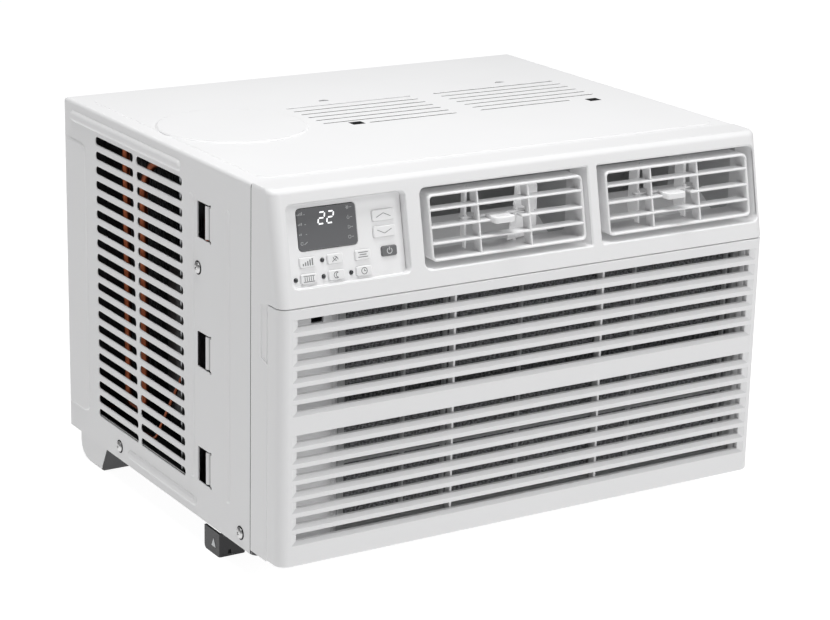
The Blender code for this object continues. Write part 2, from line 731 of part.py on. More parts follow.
def fans():
    def on_shaft(deep):
        return at(SHAFT_ACROSS, deep, SHAFT_UP)

    pivot = on_shaft(0.235)
    shaft = cylinders((on_shaft(0.100), on_shaft(0.330), SHAFT_RADIUS), sides=16)
    piece("motor_shaft", shaft, "screw_steel", pivot=pivot, smooth=True)

    can = cylinders((on_shaft(0.195), on_shaft(0.270), 0.042), sides=32)
    nose = cylinders((on_shaft(0.185), on_shaft(0.280), 0.014), sides=16)
    bore = cylinders((on_shaft(0.15), on_shaft(0.30), HUB_BORE + 0.0002), sides=16)
    piece("fan_motor", can, "motor_steel", add=[nose], cut=[bore], smooth=True)

    stand = block((SHAFT_ACROSS - 0.030, SHAFT_ACROSS + 0.030), (0.205, 0.260), (-0.0057, SHAFT_UP - 0.025))
    cradle = cylinders((on_shaft(0.19), on_shaft(0.28), 0.0423), sides=32)
    legs_inside = (SHAFT_ACROSS - 0.028, SHAFT_ACROSS + 0.028)
    gap_below = block(legs_inside, (0.20, 0.27), (-0.0040, SHAFT_UP - 0.047))
    piece("motor_bracket", stand, "galvanised", cut=[gap_below, cradle])

    disc = cylinders((on_shaft(0.150), on_shaft(0.152), BLOWER_RADIUS), sides=40)
    hub = cylinders((on_shaft(0.135), on_shaft(0.151), 0.012), sides=16)
    ring = cylinders((on_shaft(0.104), on_shaft(0.1065), BLOWER_RADIUS), sides=40)
    ring_hole = cylinders((on_shaft(0.10), on_shaft(0.11), BLOWER_RADIUS - 0.012), sides=40)
    blades = bmesh.new()
    for number in range(20):
        spin = Matrix.Translation(on_shaft(0)) @ Matrix.Rotation(number * math.pi / 10, 4, "Y")
        place = spin @ Matrix.Translation((BLOWER_RADIUS - 0.006, 0.1285, 0)) @ Matrix.Rotation(0.5, 4, "Y")
        bmesh.ops.create_cube(blades, size=1.0, matrix=place @ Matrix.Diagonal((0.010, 0.046, 0.0012, 1)))
    bore = cylinders((on_shaft(0.12), on_shaft(0.16), HUB_BORE), sides=16)
    piece(
        "blower_wheel",
        ring,
        "black_plastic",
        carve=[ring_hole],
        add=[to_mesh(blades), disc, hub],
        cut=[bore],
        pivot=pivot,
    )

    hub = cylinders((on_shaft(0.298), on_shaft(0.322), 0.020), sides=16)
    rim = cylinders((on_shaft(0.312), on_shaft(0.322), FAN_RADIUS), sides=40)
    rim_hole = cylinders((on_shaft(0.30), on_shaft(0.33), FAN_RADIUS - 0.003), sides=40)
    paddles = bmesh.new()
    for number in range(4):
        spin = Matrix.Translation(on_shaft(0.312)) @ Matrix.Rotation(number * math.pi / 2, 4, "Y")
        place = spin @ Matrix.Translation((0.058, 0, 0)) @ Matrix.Rotation(math.radians(-28), 4, "X")
        bmesh.ops.create_cube(paddles, size=1.0, matrix=place @ Matrix.Diagonal((0.0815, 0.0018, 0.036, 1)))
    bore = cylinders((on_shaft(0.28), on_shaft(0.34), HUB_BORE), sides=16)
    piece(
        "condenser_fan",
        rim,
        "black_plastic",
        carve=[rim_hole],
        add=[to_mesh(paddles), hub],
        cut=[bore],
        pivot=pivot,
    )


def tube(name, route, radius, material="copper"):
    """A bent tube through these (across, deep, up) points, with its corners eased."""
    curve = bpy.data.curves.new(name, "CURVE")
    curve.dimensions = "3D"
    curve.bevel_depth = radius
    curve.bevel_resolution = 2
    curve.use_fill_caps = True
    points = eased([at(*point) for point in route], 3 * radius)
    spline = curve.splines.new("POLY")
    spline.points.add(len(points) - 1)
    for spot, point in zip(spline.points, points):
        spot.co = (*point, 1.0)
    curve.materials.append(make_material(material))
    obj = bpy.data.objects.new(name, curve)
    PARTS.objects.link(obj)
    return obj


def eased(points, radius, steps=4):
    """The same route with each inner corner replaced by a short curve."""
    route = [points[0]]
    for before, corner, after in zip(points, points[1:], points[2:]):
        reach = min(radius, (before - corner).length * 0.45, (after - corner).length * 0.45)
        start = corner + (before - corner).normalized() * reach
        end = corner + (after - corner).normalized() * reach
        for step in range(steps + 1):
            share = step / steps
            route.append(start.lerp(corner, share).lerp(corner.lerp(end, share), share))
    route.append(points[-1])
    return route


def coil(name, across, deep, up):
    """A finned coil: fins a third of each pitch wide, on both sides of a thin middle web."""
    pitch, fin, web, end_plate = 0.023, 0.008, 0.003, 0.003
    middle = (deep[0] + deep[1]) / 2
    slots = []
    start = across[0] + end_plate
    while start + pitch < across[1]:
        for near, far in ((deep[0] - 0.01, middle - web / 2), (middle + web / 2, deep[1] + 0.01)):
            low = at(start, near, up[0] + end_plate)
            slots.append((low, at(start + pitch - fin, far, up[1] - end_plate)))
        start += pitch
    piece(name, block(across, deep, up), "coil_aluminium", cut=[blocks(*slots)])


def refrigeration():
    coil("evaporator_coil", (0.071, 0.446), (0.0545, 0.0870), (0.003, 0.2090))
    coil("condenser_coil", (0.035, 0.453), (0.3455, 0.3870), (-0.003, 0.2910))

    body = ((0, 0.199), (0.018, 0.198), (0.034, 0.191), (0.045, 0.178), (0.050, 0.160))
    foot = ((0.050, 0.030), (0.047, 0.014), (0.040, 0.0045), (0, 0.0045))
    turned_piece("compressor", [*body, *foot], at(0.088, 0.262, 0), "compressor_black")
    can = (
        (0, 0.190),
        (0.007, 0.189),
        (0.014, 0.180),
        (0.015, 0.172),
        (0.015, 0.078),
        (0.014, 0.070),
        (0.006, 0.062),
        (0, 0.062),
    )
    turned_piece("accumulator", can, at(0.042, 0.196, 0), "compressor_black", sides=20)
    cover = block((0.1395, 0.1560), (0.245, 0.279), (0.090, 0.150))
    piece("terminal_cover", cover, "black_plastic", bevel=0.002)
    capacitor = cylinders((at(0.420, 0.205, 0.010), at(0.420, 0.205, 0.085), 0.020), sides=24)
    piece("run_capacitor", capacitor, "motor_steel", smooth=True)

    tube(
        "discharge_tube",
        (
            (0.066, 0.248, 0.1985),
            (0.066, 0.248, 0.225),
            (0.045, 0.240, 0.262),
            (0.030, 0.238, 0.268),
            (0.023, 0.262, 0.270),
            (0.022, 0.284, 0.248),
            (0.022, 0.284, 0.040),
            (0.022, 0.318, 0.040),
            (0.022, 0.318, 0.282),
            (0.022, 0.358, 0.282),
            (0.0347, 0.358, 0.282),
        ),
        0.0036,
    )
    tube(
        "suction_tube",
        (
            (0.0707, 0.072, 0.195),
            (0.048, 0.072, 0.195),
            (0.034, 0.120, 0.205),
            (0.034, 0.178, 0.212),
            (0.042, 0.196, 0.212),
            (0.042, 0.196, 0.1903),
        ),
        0.0042,
    )
    tube(
        "capillary_tube",
        (
            (0.0347, 0.356, 0.022),
            (0.016, 0.356, 0.022),
            (0.010, 0.330, 0.024),
            (0.010, 0.240, 0.030),
            (0.020, 0.190, 0.120),
            (0.020, 0.182, 0.190),
            (0.020, 0.165, 0.190),
            (0.030, 0.100, 0.060),
            (0.050, 0.068, 0.030),
            (0.0707, 0.068, 0.030),
        ),
        0.0016,
    )


def side_screws():
    head, shank, length = 0.0052, 0.0018, 0.010
    for side, face, outward in (("left", 0.0, -1), ("right", WIDTH, 1)):
        for number, (deep, up) in enumerate(SCREW_PLACES, 1):
            seat = face + outward * GAP
            neck = cylinders((at(seat, deep, up), at(seat + outward * 0.0008, deep, up), head), sides=20)
            crown = cylinders(
                (at(seat + outward * 0.0007, deep, up), at(seat + outward * 0.0020, deep, up), head, 0.0030),
                sides=20,
            )
            thread = cylinders(
                (at(seat + outward * 0.0005, deep, up), at(face - outward * length, deep, up), shank),
                sides=12,
            )
            piece(f"screw_{side}_{number}", neck, "screw_steel", add=[crown, thread])


clear_scene()
PARTS = new_collection("window_air_conditioner")
TOOLS = new_collection("cutters")
cabinet_shell()
base_pan()
sash_bracket("left", 0.0020, 0.0265)
sash_bracket("right", WIDTH - 0.0265, WIDTH - 0.0020)
rear_guard()
front_bezel()
intake_grille()
filter_parts()
control_parts()
discharge_duct()
for louver_side in FRAME_LEFTS:
    louver_frame(louver_side)
    link_bar(louver_side)
vane("left", 0, -VANE_TURN)
vane("left", 1, -VANE_TURN - math.radians(48))
vane("right", 0, -VANE_TURN + math.radians(5))
vane("right", 1, -VANE_TURN + math.radians(5))
air_path()
fans()
refrigeration()
side_screws()
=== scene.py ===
"""A window air conditioner on a pale floor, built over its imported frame.

Places are (across, deep, up) in metres: across from the casing's left side, deep from the
front of the intake grille, and up from the lower edge of the front bezel.
"""

import math

import bmesh
import bpy
from mathutils import Matrix, Vector


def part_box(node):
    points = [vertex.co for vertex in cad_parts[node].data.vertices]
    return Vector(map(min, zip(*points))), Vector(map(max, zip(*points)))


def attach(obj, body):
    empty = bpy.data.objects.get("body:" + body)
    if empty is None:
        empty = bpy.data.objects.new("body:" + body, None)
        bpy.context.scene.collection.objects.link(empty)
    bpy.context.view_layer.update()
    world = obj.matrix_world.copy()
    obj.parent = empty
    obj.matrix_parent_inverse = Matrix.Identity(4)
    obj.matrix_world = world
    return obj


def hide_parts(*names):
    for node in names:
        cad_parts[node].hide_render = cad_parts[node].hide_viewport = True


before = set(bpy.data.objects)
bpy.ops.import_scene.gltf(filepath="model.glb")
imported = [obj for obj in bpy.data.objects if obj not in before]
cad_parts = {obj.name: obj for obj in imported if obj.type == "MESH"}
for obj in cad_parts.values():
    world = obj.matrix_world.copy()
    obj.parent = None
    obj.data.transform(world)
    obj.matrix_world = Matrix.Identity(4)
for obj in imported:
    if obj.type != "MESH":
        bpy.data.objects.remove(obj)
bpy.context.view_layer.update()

# The frame's own boxes give the origin and the main sizes
CASE_LOW, CASE_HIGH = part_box("cabinet_shell")
BEZEL_LOW, BEZEL_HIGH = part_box("front_bezel")
GRILLE_LOW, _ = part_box("intake_grille")
ORIGIN = Vector((CASE_LOW.x, BEZEL_LOW.y, BEZEL_LOW.z))
WIDTH = CASE_HIGH.x - CASE_LOW.x
DEPTH = CASE_HIGH.y - BEZEL_LOW.y
TOP = BEZEL_HIGH.z - BEZEL_LOW.z
HEM = CASE_LOW.z - BEZEL_LOW.z
CASE_FRONT = CASE_LOW.y - BEZEL_LOW.y
BEZEL_REAR = BEZEL_HIGH.y - BEZEL_LOW.y
CREASE = 0.2117
SETBACK = 0.0188
LEAN = math.atan(SETBACK / (TOP - CREASE))
SHEET = 0.0012
RECESS = 0.0075
FLOOR_UP = -0.0285

SCREWS = ((0.138, 0.211), (0.291, 0.0087), (0.0647, 0.0087))
# (radius, outward) from the shank's end to the middle of the head
SCREW_PROFILE = (
    (0.0017, -0.009), (0.0017, 0.0003), (0.0045, 0.0003), (0.0047, 0.0006), (0.0044, 0.0013), (0.0035, 0.002),
    (0.002, 0.0024), (0.0, 0.0025),
)
VENT_ROWS = [0.0275 + 0.01303 * row for row in range(20)]
CURTAIN_LOWS = (0.236, 0.1275, 0.0285)
SLOT_TOPS = [0.2026 - 0.0136 * row for row in range(6)] + [0.1094 - 0.0136 * row for row in range(7)]
PANEL = (0.0123, 0.1177, 0.0143, 0.079)
DISPLAY = (0.0243, 0.0765, 0.0418, 0.0746)
KEY_COLUMNS = (0.0302, 0.0544, 0.079, 0.103)
KEY_ROWS = (0.0207, 0.0334)
KEYS = {
    name: (KEY_COLUMNS[column], KEY_ROWS[row], 0.014, 0.008)
    for name, column, row in (
        ("filter", 0, 0), ("sleep", 1, 0), ("timer", 2, 0), ("fan_speed", 0, 1), ("eco", 1, 1), ("mode", 2, 1), ("power", 3, 1),
    )
}
KEYS["down"] = (0.1, 0.049, 0.02, 0.009)
KEYS["up"] = (0.1, 0.0618, 0.02, 0.009)
LEDS = ((0.0193, KEY_ROWS[0]), (0.0436, KEY_ROWS[0]), (0.068, KEY_ROWS[0]), (0.0436, KEY_ROWS[1]))
OUTLETS = ((0.1315, 0.2915), (0.3016, 0.4648))
OUTLET_ALONG = (0.0146, 0.079)
OUTLET_CORNERS = ((0.0055, 0.0012, 0.0012, 0.0055), (0.0012, 0.0055, 0.0055, 0.0012))
LOUVRES = {"left": 0.138, "right": 0.309}
LOUVRE_LOW, LOUVRE_HIGH, LOUVRE_REAR, LOUVRE_WIDTH = 0.231, 0.283, 0.034, 0.148
# Where each louvre's two pins end across, and their deep and up
PIN_ENDS = {"left": (0.1295, 0.2945), "right": (0.2985, 0.4665)}
PIN_PLACE = (0.024, 0.257)
SLATS = (0.2445, 0.257, 0.2705)
UPRIGHTS = (0.0465, 0.095)
VANES = (0.043, 0.0915)
VANE_DEEP, VANE_ARM, VANE_TURN = 0.0268, 0.006, math.radians(27)
# How far each vane's blade is set round from its own peg arm, in degrees
VANE_SPLAYS = (("left", 0, 0), ("left", 1, -48), ("right", 0, 5), ("right", 1, 5))
# Levels that take a cutter from above a surface to below it
THROUGH = ((0, 0.004), (0, -0.004))
UPWARD = Vector((0, 0, 1))

CAMERA_PLACE = (-1.0661, -1.7117, 0.7705)
CAMERA_ANGLES = (-32.129, 16.986, 1.351)
CAMERA_LENS, CAMERA_SENSOR = 103.74, 36.0
FLOOR_REACH = 14.0
WORLD = 0.14
LIGHTS = (
    ("top_light", (-0.3, -0.24, 2.0), (0.9, 0.7), 29.0),
    ("front_right_light", (0.9, -1.6, 1.9), (0.9, 0.9), 19.0),
)


# Places

def at(across, deep, up):
    return ORIGIN + Vector((across, deep, up))


def slope_deep(up):
    """How far behind the front plane the leaning face is at this height."""
    return (up - CREASE) * math.tan(LEAN)


def on_slope(across, along, depth=0.0):
    """A point on the leaning face, or below it: along runs up the slope from the crease."""
    deep = along * math.sin(LEAN) + depth * math.cos(LEAN)
    return at(across, deep, CREASE + along * math.cos(LEAN) - depth * math.sin(LEAN))


def on_left(deep, up, out):
    return at(-out, deep, up)


def on_right(deep, up, out):
    return at(WIDTH + out, deep, up)


def on_top(across, deep, out):
    return at(across, deep, TOP + out)


def on_front(across, up, depth):
    return at(across, depth, up)


def stood(outline, ups):
    """Sections of an (across, deep) outline at each height."""
    return [[at(x, d, up) for x, d in outline] for up in ups]


def spanned(outline, places):
    """Sections of a (deep, up) outline at each place across."""
    return [[at(x, d, up) for d, up in outline] for x in places]


def faced(outline, depths):
    """Sections of an (across, up) outline at each depth."""
    return [[at(x, d, up) for x, up in outline] for d in depths]


def spoke(cx, cy, radius, angle):
    """The point of a circle at this angle in radians."""
    return cx + radius * math.cos(angle), cy + radius * math.sin(angle)


# Shapes

def rounded(left, right, low, high, radii, steps=3):
    """A rectangle's outline with rounded corners, from the left-low corner round to the left-high one."""
    if not isinstance(radii, (tuple, list)):
        radii = (radii,) * 4
    corners = ((left, low, 180), (right, low, 270), (right, high, 0), (left, high, 90))
    points = []
    for (x, y, start), radius in zip(corners, radii):
        radius = max(radius, 0.00005)
        cx = x + radius if x == left else x - radius
        cy = y + radius if y == low else y - radius
        for step in range(steps + 1):
            angle = math.radians(start + 90 * step / steps)
            points.append(spoke(cx, cy, radius, angle))
    return points


def grown(span, by):
    """A (left, right, low, high) span with each side moved out."""
    left, right, low, high = span
    return left - by, right + by, low - by, high + by


def place(mapping, outline, level):
    return [mapping(x, y, level) for x, y in outline]


def loft_into(work, sections):
    """A closed skin over successive outlines that have the same number of points."""
    rings = [[work.verts.new(point) for point in section] for section in sections]
    count = len(rings[0])
    for first, second in zip(rings, rings[1:]):
        for i in range(count):
            j = (i + 1) % count
            work.faces.new((first[i], first[j], second[j], second[i]))
    work.faces.new(rings[0])
    work.faces.new(rings[-1])


def done(work):
    bmesh.ops.recalc_face_normals(work, faces=work.faces)
    mesh = bpy.data.meshes.new("shape")
    work.to_mesh(mesh)
    work.free()
    return mesh


def lofts(*stacks):
    """One mesh of separate lofts, each a list of outlines."""
    work = bmesh.new()
    for sections in stacks:
        loft_into(work, sections)
    return done(work)


def slab(mapping, span, radius, *levels, steps=3):
    """A rounded rectangle's loft. Each level is (how far its outline grows, how far along)."""
    sections = []
    for grow, level in levels:
        corner = radius + grow if not isinstance(radius, (tuple, list)) else [r + grow for r in radius]
        sections.append(place(mapping, rounded(*grown(span, grow), corner, steps), level))
    return sections


def box_at(across, deep, up):
    """A plain block, for cutting with."""
    return stood(rounded(*across, *deep, 0, 1), up)


def rods(*items, sides=20):
    """One mesh of round rods, each (start, end, radius)."""
    stacks = []
    for start, end, radius in items:
        axis = end - start
        turn = axis.to_track_quat("Z", "Y")
        circle = [turn @ Vector((*spoke(0, 0, radius, 2 * math.pi * i / sides), 0)) for i in range(sides)]
        stacks.append([[start + axis * share + point for point in circle] for share in (0, 1)])
    return lofts(*stacks)


def turned(profile, centre, axis, sides=32):
    """A (radius, height) profile turned about an axis through the centre, closed at both ends."""
    turn = axis.to_track_quat("Z", "Y")
    sections = []
    for radius, height in profile:
        radius = max(radius, 0.00002)
        sections.append([
            centre + turn @ Vector((*spoke(0, 0, radius, 2 * math.pi * i / sides), height)) for i in range(sides)
        ])
    return sections


def combine(mesh, steps):
    """The mesh after a list of (operation, other mesh)."""
    scene = bpy.context.scene
    subject = bpy.data.objects.new("subject", mesh)
    scene.collection.objects.link(subject)
    tools = []
    for operation, other in steps:
        tool = bpy.data.objects.new("tool", other)
        scene.collection.objects.link(tool)
        tools.append(tool)
        modifier = subject.modifiers.new(operation, "BOOLEAN")
        modifier.operation = operation
        modifier.object = tool
        modifier.solver = "EXACT"
    graph = bpy.context.evaluated_depsgraph_get()
    result = bpy.data.meshes.new_from_object(subject.evaluated_get(graph))
    for obj in [subject, *tools]:
        bpy.data.objects.remove(obj)
    return result


def cleaned(mesh):
    """Merges points closer than a hundredth of a millimetre and drops faces of no area."""
    work = bmesh.new()
    work.from_mesh(mesh)
    bmesh.ops.remove_doubles(work, verts=work.verts, dist=0.00001)
    bmesh.ops.dissolve_degenerate(work, edges=work.edges, dist=0.00001)
    work.to_mesh(mesh)
    work.free()
    return mesh


def piece(name, mesh, material, body, replaces=(), cut=(), add=(), crisp=35, inner=None):
    """One visible piece: united with add, cut by cut, given its material and put on its body.

    inner is (a second material that paints light or shade onto some faces, a test of a face's centre and normal that
    says where it goes).
    """
    steps = [("UNION", other) for other in add] + [("DIFFERENCE", other) for other in cut]
    if steps:
        mesh = cleaned(combine(mesh, steps))
    obj = bpy.data.objects.new(name, mesh)
    bpy.context.scene.collection.objects.link(obj)
    mesh.name = name
    mesh.materials.clear()
    mesh.materials.append(MATERIALS[material])
    if inner:
        mesh.materials.append(MATERIALS[inner[0]])
        for face in mesh.polygons:
            if inner[1](face.center, face.normal):
                face.material_index = 1
    mesh.shade_smooth()
    mesh.set_sharp_from_angle(angle=math.radians(crisp))
    weights = obj.modifiers.new("Weighted normals", "WEIGHTED_NORMAL")
    weights.keep_sharp = True
    weights.weight = 100
    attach(obj, body)
    if replaces:
        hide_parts(*replaces)
    return obj


# Materials

def node(tree, kind, inputs=(), **settings):
    """A new shader node with these settings and input values."""
    made = tree.nodes.new(kind)
    for name, value in settings.items():
        setattr(made, name, value)
    for name, value in dict(inputs).items():
        made.inputs[name].default_value = value
    return made


def started(name):
    """A new material, its node tree, its shader, and the object coordinates as a socket."""
    made = bpy.data.materials.new(name)
    made.use_nodes = True
    tree = made.node_tree
    return made, tree, tree.nodes["Principled BSDF"], node(tree, "ShaderNodeTexCoord").outputs["Object"]


def bumped(tree, shader, height, strength, distance):
    """Raises the surface by a socket's value."""
    bump = node(tree, "ShaderNodeBump", {"Strength": strength, "Distance": distance})
    tree.links.new(height, bump.inputs["Height"])
    tree.links.new(bump.outputs["Normal"], shader.inputs["Normal"])


def material(
    name, colour, roughness, metallic=0.0, grain=900.0, bump=0.12, vary=0.03, streak=None, coat=0.0, glow=0.0, specular=None
):
    """A surface with a fine grain, slow changes of shade and roughness, and a bump of the same grain."""
    made, tree, shader, where = started(name)
    link = tree.links.new
    shader.inputs["Metallic"].default_value = metallic
    if coat:
        shader.inputs["Coat Weight"].default_value = coat
        shader.inputs["Coat Roughness"].default_value = 0.12
    if specular is not None:
        shader.inputs["Specular IOR Level"].default_value = specular
    slow = node(tree, "ShaderNodeTexNoise", {"Scale": 14.0, "Detail": 3.0})
    fine = node(tree, "ShaderNodeTexNoise", {"Scale": grain, "Detail": 2.0})
    link(where, slow.inputs["Vector"])
    if streak:
        stretch = node(tree, "ShaderNodeMapping", {"Scale": streak})
        link(where, stretch.inputs["Vector"])
        where = stretch.outputs["Vector"]
    link(where, fine.inputs["Vector"])
    dark = tuple(max(0.0, c * (1 - vary)) for c in colour)
    light = tuple(min(1.0, c * (1 + vary)) for c in colour)
    blend = node(tree, "ShaderNodeMix", {6: (*dark, 1), 7: (*light, 1)}, data_type="RGBA")
    both = node(tree, "ShaderNodeMath", {1: 0.5}, operation="MULTIPLY_ADD")
    half = node(tree, "ShaderNodeMath", {1: 0.5}, operation="MULTIPLY")
    link(fine.outputs["Fac"], both.inputs[0])
    link(slow.outputs["Fac"], half.inputs[0])
    link(half.outputs["Value"], both.inputs[2])
    link(both.outputs["Value"], blend.inputs[0])
    link(blend.outputs[2], shader.inputs["Base Color"])
    rough = node(tree, "ShaderNodeMapRange", {"To Min": max(0.03, roughness - 0.06), "To Max": min(1.0, roughness + 0.06)})
    link(both.outputs["Value"], rough.inputs["Value"])
    link(rough.outputs["Result"], shader.inputs["Roughness"])
    bumped(tree, shader, fine.outputs["Fac"], bump, 0.0002)
    if glow:
        shader.inputs["Emission Color"].default_value = (*colour, 1)
        shader.inputs["Emission Strength"].default_value = glow
    return made


def ramp(tree, value, low, high):
    """A colour ramp between two (position, colour) stops, as a socket."""
    made = node(tree, "ShaderNodeValToRGB")
    for element, (position, colour) in zip(made.color_ramp.elements, (low, high)):
        element.position = position
        element.color = (*colour, 1)
    tree.links.new(value, made.inputs["Fac"])
    return made.outputs["Color"]


def woven(name, colour, gap, pitch):
    """Threads that cross over and under, with darker holes between them."""
    made, tree, shader, where = started(name)
    link = tree.links.new
    shader.inputs["Roughness"].default_value = 0.62
    apart = node(tree, "ShaderNodeSeparateXYZ")
    link(where, apart.inputs["Vector"])
    most = node(tree, "ShaderNodeMath", operation="MAXIMUM")
    for index, axis in enumerate(("X", "Z")):
        scaled = node(tree, "ShaderNodeMath", {1: math.pi / pitch}, operation="MULTIPLY")
        wave = node(tree, "ShaderNodeMath", operation="SINE")
        size = node(tree, "ShaderNodeMath", operation="ABSOLUTE")
        link(apart.outputs[axis], scaled.inputs[0])
        link(scaled.outputs[0], wave.inputs[0])
        link(wave.outputs[0], size.inputs[0])
        link(size.outputs[0], most.inputs[index])
    dust = node(tree, "ShaderNodeTexNoise", {"Scale": 420.0, "Detail": 3.0})
    link(where, dust.inputs["Vector"])
    threads = ramp(tree, most.outputs[0], (0.72, gap), (0.96, colour))
    patchy = ramp(tree, dust.outputs["Fac"], (0.36, (0.3, 0.3, 0.3)), (0.62, (1.0, 1.0, 1.0)))
    shaded = node(tree, "ShaderNodeMix", {0: 1.0}, data_type="RGBA", blend_type="MULTIPLY")
    link(threads, shaded.inputs[6])
    link(patchy, shaded.inputs[7])
    link(shaded.outputs[2], shader.inputs["Base Color"])
    bumped(tree, shader, most.outputs[0], 0.7, 0.0004)
    return made


# Each is (colour, roughness, what else differs from the plain surface)
PAINTS = {
    "powder_coat": ((0.79, 0.79, 0.795), 0.52, dict(grain=1100, bump=0.16, vary=0.015, specular=0.22)),
    # Near-black painted shade for faces the light hardly reaches: the casing's inside, the walls of its top slots, the
    # pan's and feet's up-, down- and front-facing faces, and the rear panel's front faces
    "painted_shade_dark": ((0.055, 0.055, 0.058), 0.65, dict(grain=700, vary=0.15)),
    "white_abs": ((0.78, 0.78, 0.785), 0.44, dict(grain=1500, bump=0.08, vary=0.01, specular=0.3)),
    # A darker white painted as shade on the upward-facing faces in the grille's slots
    "slat_shade": ((0.66, 0.66, 0.665), 0.42, dict(grain=1500, bump=0.08, vary=0.01)),
    # A mid grey painted as shade on the front part of the curtain tabs
    "fold_shade": ((0.42, 0.42, 0.425), 0.5, dict(grain=1100, bump=0.16, vary=0.02)),
    # The vanes' white with a painted glow that lightens them as light would
    "painted_light_vane": ((0.84, 0.84, 0.845), 0.32, dict(grain=1500, bump=0.06, vary=0.01, glow=0.2)),
    # Pale print for the power key's mark, with a faint painted glow
    "pale_print_painted_glow": ((0.66, 0.67, 0.68), 0.5, dict(grain=2500, bump=0.03, vary=0.02, glow=0.1)),
    # The control recess floor's white with a painted glow that lightens it as light would
    "painted_light_panel": ((0.8, 0.8, 0.805), 0.44, dict(grain=1500, bump=0.08, vary=0.01, glow=0.07)),
    # White plastic with a painted glow, lightening walls that sit in shade: behind the grille, round the louvres and on
    # the duct ramps
    "painted_light_wall": ((0.76, 0.76, 0.765), 0.42, dict(grain=1500, bump=0.08, vary=0.01, glow=0.14)),
    "key_white": ((0.84, 0.84, 0.845), 0.34, dict(grain=2000, bump=0.06, vary=0.01)),
    "print_grey": ((0.2, 0.205, 0.21), 0.55, dict(grain=2500, bump=0.05, vary=0.04)),
    "key_dark": ((0.15, 0.153, 0.158), 0.42, dict(grain=2000, bump=0.06, vary=0.04)),
    "smoke": ((0.15, 0.152, 0.158), 0.14, dict(grain=600, bump=0.01, vary=0.03, coat=0.4)),
    "digit_light": ((0.95, 0.96, 0.97), 0.5, dict(grain=2500, bump=0.03, vary=0.01, glow=0.55)),
    "tick_light": ((0.36, 0.365, 0.37), 0.5, dict(grain=2500, bump=0.03, vary=0.02, glow=0.05)),
    "lens": ((0.035, 0.036, 0.04), 0.2, dict(grain=800, bump=0.02, vary=0.05, coat=0.3)),
    "bracket_black": ((0.022, 0.022, 0.024), 0.42, dict(metallic=0.2, grain=1000, bump=0.2, vary=0.15)),
    "bright_zinc": ((0.62, 0.62, 0.62), 0.4, dict(metallic=1.0, grain=500, bump=0.06, vary=0.05)),
    "zinc_sheet": ((0.42, 0.43, 0.44), 0.42, dict(metallic=0.9, grain=90, bump=0.05, vary=0.14)),
    "filter_grey": ((0.56, 0.565, 0.57), 0.55, dict(grain=1200, bump=0.1, vary=0.04)),
    "foam": ((0.24, 0.243, 0.25), 0.8, dict(grain=420, bump=0.5, vary=0.08)),
    "duct_grey": ((0.62, 0.625, 0.63), 0.6, dict(grain=500, bump=0.3, vary=0.05)),
    "fins": ((0.42, 0.43, 0.44), 0.42, dict(metallic=1.0, grain=300, bump=0.1, vary=0.1, streak=(1, 1, 0.05))),
    "copper_tube": ((0.3, 0.085, 0.038), 0.36, dict(metallic=1.0, grain=160, bump=0.08, vary=0.22)),
    "black_shell": ((0.016, 0.016, 0.018), 0.34, dict(metallic=0.1, grain=800, bump=0.18, vary=0.2)),
    "black_moulded": ((0.03, 0.03, 0.032), 0.5, dict(grain=900, bump=0.15, vary=0.12)),
    "motor_can": ((0.36, 0.37, 0.38), 0.36, dict(metallic=0.9, grain=120, bump=0.06, vary=0.12)),
    "circuit_green": ((0.02, 0.13, 0.06), 0.4, dict(grain=260, bump=0.15, vary=0.25)),
    # Near-black painted shadow: the rings round the screw heads and the pocket behind the bezel's small hole
    "painted_shadow_black": ((0.01, 0.01, 0.011), 0.8, dict(grain=800, vary=0.1)),
}
MATERIALS = {name: material(name, colour, roughness, **more) for name, (colour, roughness, more) in PAINTS.items()}
MATERIALS["filter_net"] = woven("filter_net", (0.4, 0.405, 0.42), (0.05, 0.051, 0.054), 0.0013)


# Casing

def arch(inset, radius=0.0028, steps=4):
    """The casing's outline as (across, up): up the left side, over the top, and down the right side."""
    left, right, high = inset, WIDTH - inset, TOP - 0.0005 - inset
    radius = max(radius - inset, 0.0008)
    points = [(left, HEM)]
    for cx, start in ((left + radius, 180), (right - radius, 90)):
        for step in range(steps + 1):
            angle = math.radians(start - 90 * step / steps)
            points.append(spoke(cx, high - radius, radius, angle))
    points.append((right, HEM))
    return points


def ring_outline(centre, radius, sides=64):
    return [spoke(*centre, radius, 2 * math.pi * i / sides) for i in range(sides)]


